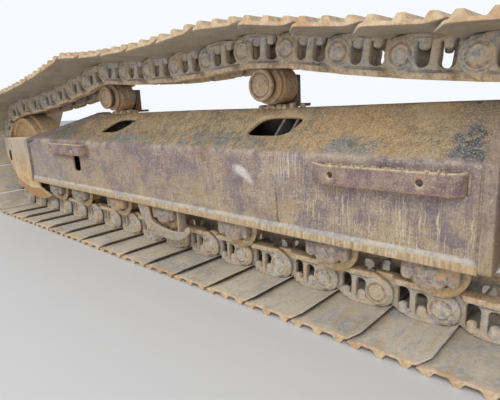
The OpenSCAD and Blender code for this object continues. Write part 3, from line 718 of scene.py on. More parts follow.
def hull_finish():
    """The frame's box. Sides: faded purple-grey paint woven with fine streaks, tan dirt, thin drips running down,
    white specks. Slopes: tan and orange dust streaked across over dark blue-grey paint, with painted shade toward the
    front under the upper run, and tan dust and painted light toward the rear. Foot: bevel painted pale as a highlight
    over an ochre edge. Front rim painted dark, dirt and painted shade; faces that point down get painted shade."""
    m = Paint("frame_paint")
    edge, slope, foot, bevel, rim = [m.mark(k) for k in ("edge", "slope", "foot", "bevel", "rim")]
    along = m.x
    fine = m.noise(52.0, 6, 0.8)
    grit = m.noise(150.0, 3, 0.8)
    cloud = m.noise(8.0, 6, 0.72)
    broad = m.noise(2.4, 4, 0.6, offset=(0.4, 0, 2.2))
    weave = m.noise(120.0, 4, 0.75, stretch=(1, 1, 0.2)) + m.noise(95.0, 4, 0.75, stretch=(0.2, 1, 1.2))
    # Sides
    side = m.mix(cloud.rise(0.36, 0.62), (118, 105, 106), (144, 129, 120))
    side = m.mix(broad.rise(0.40, 0.60) * cloud.rise(0.40, 0.60) * 0.6, side, (160, 138, 108))
    low = m.z.rise(0.47, 0.32)
    side = m.coats(side, [
        (low * cloud.rise(0.32, 0.58) * 0.65, (170, 150, 116)),
        (along.rise(-0.6, -1.4) * 0.6, (148, 138, 132)),
        (m.z.rise(0.44, 0.55) * cloud.rise(0.62, 0.42) * 0.5, (108, 90, 94)),
        (weave.rise(1.02, 1.22) * 0.42, (176, 160, 136)),
        (weave.rise(0.98, 0.80) * 0.42, (94, 82, 82)),
        (fine.rise(0.55, 0.68) * 0.45, (178, 162, 138)),
        (fine.rise(0.44, 0.32) * 0.45, (92, 76, 76))])
    # Drips: columns thinner than a finger, wavering with height, each ending where a broad noise says
    waver = m.noise(30.0, 2, 0.5) * 0.014
    column = m.node("ShaderNodeCombineXYZ", {}, {0: along + waver, 1: 0.0, 2: m.z * 0.035})
    drip = m.noise(190.0, 2.5, 0.6, at=column)
    ends = m.noise(13.0, 3, 0.6, stretch=(1, 1, 0.45), offset=(3.1, 0, 0))
    wet = along.rise(0.55, 0.95) * (1 - slope) * ends.rise(0.36, 0.50) * m.z.rise(0.52, 0.46)
    side = m.coats(side, [
        (drip.rise(0.57, 0.63) * wet * fine.rise(0.30, 0.46) * 0.8, (190, 178, 152)),
        (drip.rise(0.43, 0.37) * wet * 0.45, (84, 70, 72))])
    # A pale rubbed mark and a dark crack in the paint
    level = (along - 0.575) * (along - 0.575) * -6.0 - (along - 0.575) * 0.5 + 0.484
    smear = (m.z - level).near(0.0, 0.030) * 1.7 * along.near(0.575, 0.066) * fine.rise(0.30, 0.46) * (1 - slope)
    side = m.mix(smear.least(0.9), side, (200, 194, 190))
    rubbed = along.near(0.77, 0.15) * m.z.rise(0.43, 0.50) * drip.rise(0.46, 0.60) * fine.rise(0.36, 0.50) * (1 - slope)
    side = m.mix(rubbed * 0.75, side, (202, 194, 184))
    crack = (along - 0.765 + (m.z - 0.301) * 0.12 + m.noise(14.0, 2) * 0.03).near(0.0, 0.007)
    crack = crack * m.z.rise(0.295, 0.31) * m.z.rise(0.44, 0.40)
    side = m.coats(side, [
        (crack, (48, 40, 40)),
        (grit.rise(0.56, 0.65) * cloud.rise(0.25, 0.55) * 0.6, (206, 194, 178)),
        (grit.rise(0.44, 0.36) * 0.5, (72, 58, 62))])
    # Slopes: fine streaks run across and down
    turned_place = m.node("ShaderNodeVectorRotate", {}, {"Vector": m.place, "Axis": (0, 0, 1), "Angle": 0.75})
    streak = m.noise(42.0, 6, 0.8, at=turned_place * (2.6, 0.7, 0.7))
    drag = m.noise(15.0, 6, 0.78, stretch=(0.5, 1, 1))
    roof = m.mix(streak.rise(0.42, 0.58), (90, 82, 68), (148, 130, 100))
    roof = m.mix(drag.rise(0.50, 0.66) * 0.75, roof, (158, 128, 88))
    patch = m.noise(6.5, 6, 0.75, offset=(0, 1.7, 0.4))
    spot = m.noise(3.1, 3, 0.6, offset=(0.9, 0, 0)).rise(0.44, 0.56)
    bare = patch.rise(0.44, 0.52) * m.z.rise(0.650, 0.605) * spot
    bare = bare.most(patch.rise(0.50, 0.56) * along.rise(1.05, 1.30))
    blue = m.mix(fine.rise(0.38, 0.6), (70, 82, 92), (116, 122, 122))
    roof = m.coats(roof, [
        (bare * 0.8, blue),
        (fine.rise(0.56, 0.66) * (1 - bare) * 0.6, (186, 164, 126)),
        (fine.rise(0.44, 0.34) * 0.6, (74, 66, 56)),
        (along.rise(1.25, 1.38) * patch.rise(0.34, 0.5) * 0.9, m.mix(fine.rise(0.4, 0.6), (40, 46, 56), (86, 92, 100))),
        # Painted shade: darker toward the front, where the upper run shades the slope
        (along.rise(0.2, -1.1) * 0.6, (78, 70, 60)),
        # Lighter and tan toward the rear: tan dust, and painted light outside the upper run's shadow
        (along.rise(0.3, 1.0) * (1 - bare) * 0.4, (176, 150, 114))])
    rusty = m.noise(4.2, 6, 0.75, offset=(2.0, 0.3, 1.1)).rise(0.46, 0.60)
    roof = m.mix(rusty * (1 - bare) * 0.35, roof, m.mix(fine.rise(0.4, 0.6), (150, 108, 64), (190, 148, 94)))
    sand = m.noise(210.0, 3, 0.8, offset=(0.2, 0.5, 0))
    roof = m.coats(roof, [
        (grit.rise(0.55, 0.64) * 0.4, (206, 186, 150)),
        (drag.rise(0.47, 0.36) * 0.5, (78, 70, 60)),
        (cloud.rise(0.54, 0.66) * (1 - bare) * 0.45, (184, 162, 126)),
        (sand.rise(0.54, 0.63) * 0.45, (212, 196, 164)),
        (sand.rise(0.45, 0.36) * 0.5, (50, 44, 42)),
        # Painted shade: darker again toward the front, under the upper run
        (along.rise(-0.4, -1.3) * 0.5, (64, 56, 48))])
    stain = m.noise(5.2, 6, 0.75, stretch=(1, 1, 1.8), offset=(0.7, 0, 0.4))
    side = m.coats(side, [
        (stain.rise(0.50, 0.62) * 0.4, (150, 118, 88)),
        (stain.rise(0.46, 0.36) * 0.4, (108, 94, 94))])
    colour = m.mix(slope, side, roof)
    # Ridge: rubbed pale
    colour = m.mix(m.mark("ridge") * cloud.rise(0.40, 0.60) * 0.45, colour, (184, 170, 156))
    # Foot flange; its bevel painted pale as a highlight; front rim painted dark, dirt and painted shade; cut edges
    run = m.noise(75.0, 5, 0.75, stretch=(1, 1, 0.14))
    ochre = m.mix(run.rise(0.38, 0.60), (150, 126, 96), (198, 180, 148))
    ochre = m.coats(ochre, [
        (cloud.rise(0.4, 0.6) * 0.5, (170, 140, 100)),
        (grit.rise(0.44, 0.36) * 0.5, (112, 84, 58))])
    colour = m.coats(colour, [
        (foot * 0.92, ochre),
        (bevel * fine.rise(0.26, 0.56) * 0.75, m.mix(cloud.rise(0.35, 0.6), (160, 162, 164), (194, 188, 176))),
        # The rim coat is painted shade, with some dirt at the front edge
        (rim * 0.9, m.mix(fine.rise(0.35, 0.62), (64, 52, 56), (112, 100, 98))),
        (edge * (1 - foot) * fine.rise(0.3, 0.55) * 0.5, (182, 154, 116))])
    # Painted shade: faces that point down are darkened
    shade_below = m.facing(2).rise(-0.5, -0.9)
    colour = m.mix(shade_below * 0.6, colour, (66, 58, 52))
    return m.finish(colour, 0.8, fine + cloud * 0.6 + grit * 0.5, 0.5, 0.0014)


def bar_finish():
    """The step bars: speckled purple-brown paint, dusty along the top, an orange line of rust along the foot."""
    m = Paint("step_paint")
    edge = m.mark("edge")
    fine = m.noise(70.0, 6, 0.8)
    grit = m.noise(230.0, 3, 0.8)
    cloud = m.noise(16.0, 5, 0.7)
    base = m.mix(cloud.rise(0.38, 0.60), (104, 84, 86), (140, 118, 108))
    base = m.coats(base, [
        (fine.rise(0.52, 0.68) * 0.6, (176, 140, 98)),
        (grit.rise(0.54, 0.66) * 0.6, (200, 186, 166)),
        (fine.rise(0.40, 0.28) * 0.6, (70, 56, 58)),
        (edge * m.facing(2).rise(-0.2, 0.4) * fine.rise(0.3, 0.5), (208, 192, 164)),
        (edge * m.facing(2).rise(0.1, -0.4) * 0.7, (168, 122, 74)),
        (m.facing(2).rise(0.5, 0.9) * 0.6, (176, 152, 116))])
    return m.finish(base, 0.82, fine + cloud * 0.5 + grit * 0.4, 0.5, 0.0014)


def guide_finish():
    """The idler guide plates: worn grey-tan paint above, orange rust toward the bowl, bends painted pale as a
    highlight, the hole's walls painted dark as shade.
    """
    m = Paint("guide_rust")
    edge = m.mark("edge")
    fine = m.noise(80.0, 6, 0.75)
    cloud = m.noise(7.0, 5, 0.65)
    grain = m.noise(90.0, 5, 0.75, stretch=(1, 1, 0.3))
    base = m.mix(cloud.rise(0.36, 0.62), (150, 138, 126), (176, 162, 144))
    low = (m.z + cloud * 0.22 - 0.11).rise(0.52, 0.24)
    base = m.coats(base, [
        (low * 0.85, m.mix(cloud.rise(0.38, 0.60), (184, 142, 94), (206, 174, 126))),
        (grain.rise(0.52, 0.68) * 0.3, (196, 172, 136)),
        (cloud.rise(0.52, 0.64) * 0.5, (190, 140, 88)),
        (m.mark("bowl") * 0.85, m.mix(grain.rise(0.36, 0.62), (144, 102, 60), (188, 142, 88))),
        (fine.rise(0.54, 0.66) * 0.5, (208, 190, 160)),
        # The fold mark: pale along the fold and the bowl's crease, a painted highlight
        (m.mark("fold") * fine.rise(0.3, 0.5) * 0.7, (206, 198, 186)),
        (edge * fine.rise(0.3, 0.5) * 0.6, (208, 190, 160)),
        (fine.rise(0.42, 0.28) * 0.5, (96, 78, 64)),
        # The hole mark: the hole's walls painted dark as shade
        (m.mark("hole"), (46, 38, 34))])
    return m.finish(base, 0.78, fine + cloud * 0.4, 0.45, 0.0012)


def clod_finish():
    """Loose dried earth."""
    m = Paint("dry_earth")
    fine = m.noise(120.0, 6, 0.8)
    base = m.mix(fine.rise(0.35, 0.65), (120, 100, 78), (196, 174, 140))
    return m.finish(base, 0.95, fine, 0.9, 0.003)


SHOE = shoe_finish()
LINK = link_finish()
HULL = hull_finish()
BAR = bar_finish()
GUIDE = guide_finish()
EARTH = clod_finish()
ROLLER = iron_finish("roller_rust", (140, 120, 94), (196, 174, 138), (180, 144, 98), 0.45, True)
COLLAR = iron_finish("collar_cast", (104, 96, 98), (172, 156, 138), (190, 146, 102), 0.35)
GUARD = iron_finish("guard_paint", (128, 120, 114), (172, 160, 144), (192, 152, 98), 0.25)
CARRIER = iron_finish("carrier_rust", (120, 98, 78), (176, 152, 124), (172, 132, 92), 0.45, True, 0.2)
IDLER_IRON = iron_finish("idler_cast", (146, 118, 86), (204, 170, 124), (198, 156, 104), 0.5)
# Dark dusty iron for inner blocks and plates, darker still as painted shade for parts in the box's shadow
DARK = iron_finish("inner_dust_and_shade", (62, 54, 48), (112, 98, 82), (116, 82, 54), 0.4)
CASTING = iron_finish("wheel_cast", (124, 100, 76), (186, 156, 118), (176, 130, 82), 0.5)
PLATE_STEEL = iron_finish("plate_steel", (108, 98, 92), (158, 142, 122), (160, 122, 82), 0.4)
# The ribs' dark blue paint is made darker still as painted shade for the inside of the box
RIB_PAINT = iron_finish("rib_paint_and_shade", (34, 40, 54), (58, 56, 58), (64, 52, 42), 0.3)
MOTOR = iron_finish("motor_paint", (44, 44, 46), (96, 90, 84), (130, 96, 64), 0.25)

# The frame's own nodes: those that stay visible get a finish by name, and plates and blocks a rounded rim
STEEL_NODES = ("mount_leg_front", "mount_leg_rear", "mount_pad_front", "mount_pad_rear")
# These blocks and inner nodes get the dark iron, whose darkness is partly painted shade
DARK_BLOCKS = ("carrier_posts", "idler_blocks", "idler_yoke", "idler_guide_rails")
DARK_NODES = DARK_BLOCKS + ("floor_plate", "diaphragms", "recoil_spring_case")
for name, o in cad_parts.items():
    o.data.materials.clear()
    o.data.materials.append(PLATE_STEEL if name in STEEL_NODES else DARK if name in DARK_NODES else CASTING)
    if name in STEEL_NODES + DARK_BLOCKS:
        rim = o.modifiers.new("rim", "BEVEL")
        rim.width, rim.segments, rim.limit_method, rim.angle_limit = 0.003, 2, "ANGLE", math.radians(40)


# ---------- Track shoes ----------
def shoe():
    """A rolled shoe: seat line above, below it the plate with three rounded lugs, each a smooth step either side of
    a flat tip. The lip is a tongue curving to the pins, the toe curls out over the next lip; the lip's outer corners
    are cut off at an angle."""
    d = np.array([-23, -20, -17, -14, -11, -8, -4, 0, 4, 8, 11, 14, 17, 20, 23.0])
    lug_u = np.concatenate([LUG_U[0] + d, LUG_U[1] + d, LUG_U[2] + d[:13], [54, 130, 140, 192]])
    lug_u = np.sort(lug_u)[::-1]
    half = SHOE_W / 2

    def profile(cut, thin):
        """Seat line from lip to toe, then the lug line back; the tongue is cut short by so much."""
        tongue = np.interp([0, 0.12, 0.3, 0.5, 0.7, 0.88, 1], [0, 1], [-48 + cut, -9])
        u = np.concatenate([tongue, [30, 70, 110, 140, 152, 163, 173, 182, 190, 196.0]])
        top = SEAT - 15 * smooth(-u, 4, 50) + 11 * smooth(u, 146, 204) + thin
        v = np.concatenate([lug_u, tongue[::-1]])
        bump = sum(np.clip(1.03 - 0.03 * (np.abs(v - c) / 8) ** 2, 0, 1) * (1 - smooth(np.abs(v - c), 7, 23))
                   for c in LUG_U)
        base = np.interp(v, [-48, -42, -30, -12, 6, 150, 176, 196], [45, 49, 58, 66, FACE, FACE, 72, 75])
        low = np.minimum(base + bump * (FACE + LUG_H - base), FACE + LUG_H) - thin
        tip = [(-49.5 + cut, (top[0] + low[-1]) / 2)]
        return np.concatenate([columns(u, top), [[198, 71.5]], columns(v, low), tip])

    ys = np.array([0, 0.8, 3.0, 31, 60, 200])
    ins = np.array([1.8, 0.6, 0, 0, 0, 0])
    rings, edge = [], []
    for y, i in zip(np.concatenate([-half + ys, (half - ys)[::-1]]), np.concatenate([ins, ins[::-1]])):
        from_end = half - abs(y)
        ring = profile(max(0.0, 30 - from_end), i)
        rings.append(columns(ring[:, 0], np.full(len(ring), y), ring[:, 1]))
        edge.append(1.0 if from_end < 2 else (0.5 if from_end < 4 else 0.0))
    s = outward(tube(np.array(rings), True, np.array(edge)))
    s[2]["under"] = smooth(s[0][:, 2], FACE - 1, FACE + 5)
    s[2]["near"] = 1 - smooth(np.abs(s[0][:, 1]), 125, 240)
    return s


def shoe_bolts():
    """Four low domed bolt heads between the lugs: a profile of radius and height turned about the bolt."""
    rings = np.array([columns(circle(0, 0, r, 8), np.full(8, v))
                      for r, v in ((17, FACE - 3), (17, FACE + 5), (13, FACE + 9))])
    one = outward(tube(rings, True, np.array([0, 0.5, 0.6])))
    one[2]["under"] = np.ones(len(one[0]))
    return at_places(one, [(u, y, 0) for u in BOLT_U for y in (-BOLT_Y, BOLT_Y)])


def clod(half, top, foot, seed, n=12):
    """A lump of dirt: rings whose radius swings with the angle, from its foot to a rounded top."""
    a = around(n)
    swing = 1 + 0.10 * np.sin(3 * a + seed) + 0.07 * np.sin(5 * a + 2.3 * seed)
    rings = []
    shares = ((0, 1.12), (0.25, 1.02), (0.5, 0.98), (0.72, 0.94), (0.88, 0.78), (0.97, 0.5), (1, 0.2))
    for k, (share, size) in enumerate(shares):
        r = half * size * (swing + 0.12 * np.sin(4 * a + seed + k))
        rings.append(columns(r * np.cos(a), 0.86 * r * np.sin(a), np.full(n, foot + (top - foot) * share)))
    return outward(tube(np.array(rings), True, np.linspace(0, 0.7, len(rings))))


def nuts():
    """The two nuts of a link's windows under dried dirt, each with a lower lump beside it."""
    return join(shift(clod(17, 11, 50, 0.4), (65, 98, 0)), shift(clod(16, 15, 50, 2.1), (130, 95, 0)),
                shift(clod(10, 33, 50, 1.2, 8), (47, 104, 0)), shift(clod(10, 34, 50, 4.0, 8), (113, 99, 0)))


piece("shoes", on_links(join(shoe(), shoe_bolts())), SHOE, ["track_shoes"], 30)


# ---------- Chain links ----------
def link():
    """One strand's link as two height fields over its side view, with two windows. Heights are distances across the
    track: the outboard boss end laps the inboard end of the link before it, and rail and seat are wider than the
    web."""
    end = [(56 * math.cos(math.radians(a)), 56 * math.sin(math.radians(a)), 4) for a in range(248, 104, -16)]
    outline = shaped([(12, -70, 14)] + end + [(20, 57, 12), (150, 57, 18), (172, 42, 20), (256, 40, 38),
                                              (258, -40, 36), (236, -70, 16)], 4, 15)
    windows = [shaped([(46, -37, 18), (44, 44, 6), (86, 44, 6), (84, -37, 18)], 5, 14),
               shaped([(106, -37, 19), (108, 44, 6), (152, 44, 6), (152, -37, 19)], 5, 14)]

    def band(v):
        """1 on the rail and on the seat, 0 on the web between."""
        return np.maximum(smooth(-v, 43, 51), smooth(v, 42, 49))

    def outer(u, v):
        r = np.hypot(u, v)
        web = 112 - 24 * smooth(u, 66, 160)
        rim = 122 - 30.5 * smooth(u + 0.35 * v, 130, 150)
        h = web + (rim - web) * band(v) * smooth(u, -10, 40)
        h = np.where(u > 172, 91.0, h)
        boss = 1 - smooth(r, 41, 48)
        h = h + (118 + 4 * np.sqrt(np.clip(1 - (r / 50) ** 2, 0, 1)) - h) * boss
        h = h - 3.4 * (smooth(r, 27, 30) - smooth(r, 33, 37)) - 2.2 * (smooth(r, 16, 18) - smooth(r, 19, 22))
        return h - 1.5 * (1 - smooth(r, 4, 8))

    def inner(u, v):
        web = np.where(u < 44, 97.0, 97 - 29 * smooth(u, 44, 130))
        rim = 97 - 31 * smooth(u, 42, 64)
        return web + (rim - web) * band(v)

    rings = np.concatenate([circle(0, 0, r, 20) for r in (8, 15, 17.5, 20, 26, 29, 31.5, 34, 37, 42, 45, 49)])
    line_u = np.arange(-20, 240, 13.0)
    lines = np.concatenate([columns(line_u, np.full(len(line_u), v)) for v in (-51, -47, -43, 42, 49)]
                           + [columns(np.linspace(138, 150, 4) + k, np.full(4, -60.0)) for k in (0, 8)]
                           + [columns(np.full(6, u), np.linspace(-66, 52, 6)) for u in (160, 172)]
                           + [[[0, 0]]])
    lines = lines[np.hypot(lines[:, 0], lines[:, 1]) > 52]
    extra = np.concatenate([rings, lines, [[0, 0]]])
    s = plate([outline] + windows, outer, inner, 5.0, 20.0, extra, 3.5)
    r = np.hypot(s[0][:, 0], s[0][:, 2])
    s[2]["ring"] = (smooth(r, 25, 29) - smooth(r, 34, 39)) * (s[0][:, 1] > 106)
    s[2]["rail"] = smooth(-s[0][:, 2], 50, 54)
    return s


both_sides("links", on_links(join(outward(link()), nuts())), LINK, "chain_links", 40)

bushing = prism(rounded(columns(circle(0, 0, BUSHING_R, 16), np.full(16, 2)), 2), -BUSHING_HALF, BUSHING_HALF)
piece("bushings", on_links(bushing), LINK, ["chain_bushings"], 40)


# ---------- Rollers ----------
def wheel_profile(corners, n=4):
    """Rounds a profile's corners (radius, y, fillet); the two ends stay sharp."""
    c = np.asarray(corners, float)
    full = rounded(c, n).reshape(len(c), n, 2)
    return np.concatenate([[c[0, :2]], full[1:-1].reshape(-1, 2), [c[-1, :2]]])


def track_roller(x):
    """Two treads with outer flanges and a waist, turned about the shaft, mirrored about the middle plane. A seal
    groove runs round the outer face."""
    face = -ROLLER_HALF
    half = [(36, face, 1), (57, face, 1), (58.5, face + 5, 1), (63, face + 5, 1), (64.5, face, 1),
            (88, face + 1.5, 4), (98, -131, 4), (98, -126, 3), (84, -123, 4), (ROLLER_R, -121, 3), (ROLLER_R, -54, 4),
            (63, -40, 10)]
    corners = half + [(r, -y, f) for r, y, f in half[::-1]]
    s = turned(wheel_profile(corners, 3), x, ROLLER_Z, 56, closed=False)
    r = np.hypot(s[0][:, 0] - x, s[0][:, 2] - ROLLER_Z)
    s[2]["edge"] = smooth(r, 92, 98) * 0.8
    s[2]["groove"] = smooth(r, 56.5, 58) * (1 - smooth(r, 63.5, 65)) * (np.abs(s[0][:, 1]) > 120)
    return s


for i, x in enumerate(ROLLER_X, 1):
    piece("track_roller_body_%d" % i, track_roller(x), ROLLER, ["track_roller_%d" % i], 34)


def collar():
    """A cast collar as a height field: a domed lobe round the shaft that stands out below the frame's foot, and a
    rounded lug on each side, with shallow valleys between."""
    top = FLOOR_Z - ROLLER_Z
    outline = shaped([(-98, top, 3), (-100, -40, 20), (-64, -42, 12), (-59, -33, 6), (-42, -56, 26),
                      (28, -56, 26), (45, -33, 6), (50, -42, 11), (78, -40, 16), (77, top, 3)], 6, 9)

    def lobe(x, centre, half):
        """A half circle's height, 1 at the centre."""
        return np.sqrt(np.clip(1 - ((x - centre) / half) ** 2, 0, 1))

    def outer(x, z):
        low = 1 - smooth(z, 2, 27)
        r = np.hypot(x + 8, z * 0.85)
        dome = lobe(r, 0, 58)
        step = 2.2 * (smooth(r, 19, 22) - smooth(r, 25, 28)) + 1.6 * (smooth(r, 36, 39) - smooth(r, 42, 45))
        lugs = np.maximum(lobe(x, -80, 21), lobe(x, 62, 19))
        h = 164 + np.maximum(7 * lobe(x, -8, 60), 7 * lugs)
        return h + low * (19 * dome + 4 * lugs - 1.4 * step * (r < 50))

    s = plate([outline], outer, level(ROLLER_HALF + CLEAR), 5.0, 7.5)
    s[2]["edge"] = np.maximum(s[2]["edge"] * 0.5, smooth(-s[0][:, 2], 22, 50) * 0.8)
    return outward(s)


both_sides("collars", at_places(collar(), [(x, 0, ROLLER_Z) for x in ROLLER_X]), COLLAR, "roller_collars",
           50)


def carrier(x):
    """The carrier roller: a capped outer end with a ring pressed in, a deep seal groove, a thin flange, a waist and a
    broad tread, turned about its axis."""
    y = -123.0
    s = solid_turned([(0, y + 2, 0), (9, y + 2, 1), (10, y + 5, 1), (40, y + 4, 2), (43, y + 7, 1), (47, y + 7, 1),
                      (49, y + 1, 2), (56, y + 1, 4), (61, y + 7, 3), (61, y + 16, 3), (50, y + 20, 2),
                      (48, y + 42, 2), (70, y + 45, 2), (73, y + 50, 3), (66, y + 55, 3), (66, -56, 3), (74, -50, 3),
                      (74, 30, 4), (50, 36, 3), (50, 52, 2), (0, 52, 0)], x, CARRIER_Z, 3, 56)
    r, yy = np.hypot(s[0][:, 0] - x, s[0][:, 2] - CARRIER_Z), s[0][:, 1]
    s[2]["edge"] = np.maximum(smooth(r, 52, 56) * (1 - smooth(r, 59, 62)) * (yy < y + 6),
                              smooth(r, 68, 71) * (yy < y + 52))
    s[2]["groove"] = smooth(62 - r, 6, 9) * smooth(yy, y + 19, y + 23) * (1 - smooth(yy, y + 40, y + 43))
    s[2]["groove"] = np.maximum(s[2]["groove"], (smooth(r, 42, 43) - smooth(r, 47, 48)) * (yy < y + 12) * 0.5)
    return s


for name, x in zip(("front", "rear"), POST_X):
    piece("carrier_body_" + name, carrier(x), CARRIER, ["carrier_roller_" + name], 34)


# ---------- Frame ----------
def hull():
    """The box's bent skin in one piece, laid flat as (x, height, s) and wrapped round its section: foot flanges with a
    bevel, rounded ridges, slopes with two openings each, a slot low on the outer side, and a rim standing proud
    along the front ends."""
    path = section([(-FRAME_HALF, SKIRT_Z, 0), (-FRAME_HALF, RIDGE_Z, 22), (-CREST_HALF, CREST_Z, 14),
                    (CREST_HALF, CREST_Z, 14), (FRAME_HALF, RIDGE_Z, 22), (FRAME_HALF, SKIRT_Z, 0)])
    lengths, p, _ = path
    total = lengths[-1]

    def s_of(y, z):
        """The length along the section at its point nearest to (y, z)."""
        return lengths[np.argmin(np.hypot(p[:, 0] - y, p[:, 1] - z))]

    ridge = s_of(-FRAME_HALF + 4, RIDGE_Z)
    crest = s_of(-CREST_HALF - 2, CREST_Z - 1)
    roof_mid = (ridge + crest) / 2 + 10
    front_up = X_MID - CREST_FRONT
    outline = np.array([(FRONT_X, 0), (END_X, 0), (END_X, total), (FRONT_X, total), (FRONT_X, total - ridge),
                        (front_up, total - crest), (front_up, crest), (FRONT_X, ridge)], float)
    outline = spread(outline, 26)
    holes = []
    for middle, half, power, lean in OPENINGS:
        for s, side in ((roof_mid + 6, 1), (total - roof_mid - 6, -1)):
            hole = oval(middle, s, half, OPENING_HALF_H, power)
            hole[:, 0] += lean * (hole[:, 1] - s) * side
            holes.append(ccw(spread(hole, 12)))
    holes.append(shaped([(SLOT_X - 45, 125, 20), (SLOT_X + 45, 125, 20), (SLOT_X + 45, 215, 20),
                         (SLOT_X - 45, 215, 20)], 5, 12))
    front = np.array([(FRONT_X, 0), (FRONT_X, ridge), (front_up, crest), (front_up, total - crest),
                      (FRONT_X, total - ridge), (FRONT_X, total)], float)

    def to_front(x, s):
        """Distance to the skin's front edge."""
        q, best = columns(x, s), np.full(len(x), 1e9)
        for a, b in zip(front[:-1], front[1:]):
            t = np.clip(((q - a) @ (b - a)) / ((b - a) @ (b - a)), 0, 1)
            best = np.minimum(best, np.linalg.norm(q - a - t[:, None] * (b - a), axis=1))
        return best

    def top(x, s):
        low = np.minimum(s, total - s)
        foot = 9.5 * (1 - smooth(low, 30, 43))
        rim = 10 * np.sqrt(np.clip(1 - ((to_front(x, s) - 18) / 22) ** 2, 0, 1))
        dent = 1.6 * np.sin(x / 190 + 1) * np.sin(s / 70) * smooth(low, 60, 120)
        return np.maximum(foot, rim) + dent - 1.6

    rows = [27, 30, 33.5, 37, 40, 43, 46] + [ridge + k for k in (-20, -12, -6, 0, 6, 12, 20)]
    rows += [crest + k for k in (-12, -5, 0, 6)]
    rows += [total - r for r in rows]
    at = np.arange(FRONT_X + 14, END_X, 30.0)
    extra = [columns(at, np.full(len(at), r)) for r in rows]
    for a, b in zip(front[:-1], front[1:]):
        n = np.array([(b - a)[1], -(b - a)[0]]) / np.linalg.norm(b - a)
        t = np.linspace(0, 1, max(3, int(np.linalg.norm(b - a) / 25)))[:, None]
        extra += [a + (b - a) * t + n * k for k in (10, 18, 26, 33, 37, 40, 44)]
    flat = plate([outline] + holes, top, level(-PLATE), 3.5, 42.0, np.concatenate(extra), 4.0)
    x, h, s_at = flat[0].T
    low = np.minimum(s_at, total - s_at)
    out = h > -8
    flat[2]["slope"] = smooth(low, ridge + 2, ridge + 16) * out
    flat[2]["foot"] = (1 - smooth(low, 28, 31)) * out
    # The bevel mark is painted pale as a highlight; the rim mark is painted dark, painted shade with some dirt
    flat[2]["bevel"] = smooth(low, 28, 31) * (1 - smooth(low, 40, 45)) * out
    flat[2]["ridge"] = np.clip(1 - np.abs(low - ridge) / 26, 0, 1) * out
    flat[2]["rim"] = (1 - smooth(to_front(x, s_at), 36, 43)) * out
    return bent(flat, path)


piece("frame_skin", hull(), HULL, ["side_plate_outer", "roof_plate_outer", "crest_plate", "roof_plate_inner",
                                   "side_plate_inner"], 32)


def cross_plate(out, foot, radius, top_radius, n, gap, x0, x1, edge, grid):
    """A plate across the box from x0 to x1, its outline the box's section moved out by so much."""
    wide, high, up = FRAME_HALF + out, CREST_Z + out, out * math.sqrt(1 + SLOPE * SLOPE)
    side_top = CREST_Z + up - (wide - CREST_HALF) * SLOPE
    top_half = CREST_HALF + (CREST_Z + up - high) / SLOPE
    outline = shaped([(-wide, foot, radius), (wide, foot, radius), (wide, side_top, radius),
                      (top_half, high, top_radius), (-top_half, high, top_radius), (-wide, side_top, radius)], n, gap)
    s = plate([outline], level(x1), level(x0), edge, grid)
    return outward((s[0][:, [1, 0, 2]], s[1], s[2])), outline


def end_plate():
    """The thick rear plate standing proud of the box all round, its rims rounded."""
    s, outline = cross_plate(10, SKIRT_Z, 16, 14, 6, 30, END_X, REAR_X, 6.0, 45.0)
    z = s[0][:, 2]
    border = border_distance(s[0][:, 1:], [outline])
    low = 1 - smooth(z, 290, 430)
    s[2]["foot"] = (1 - smooth(border, 3, 9)) * (0.15 + 0.6 * low)
    s[2]["edge"] = s[2]["edge"] * 0.5 * (0.3 + 0.7 * low)
    # The rim mark paints the rear face darker: painted shade
    s[2]["rim"] = 0.25 + 0.35 * smooth(border, 10, 40) * (1 - smooth(z, 300, 440) * 0.5)
    return s


piece("rear_plate_body", end_plate(), HULL, ["rear_end_plate"], 34)


def roof_ribs():
    """Plates across the box from its floor up to its roof, which show through the slopes' openings."""
    return join(*[cross_plate(-PLATE - CLEAR, FLOOR_Z + PLATE, 3, 3, 3, 40, x - RIB_T / 2, x + RIB_T / 2, 2.0, 70.0)[0]
                  for x in RIB_X])


piece("roof_ribs", roof_ribs(), RIB_PAINT, (), 34)


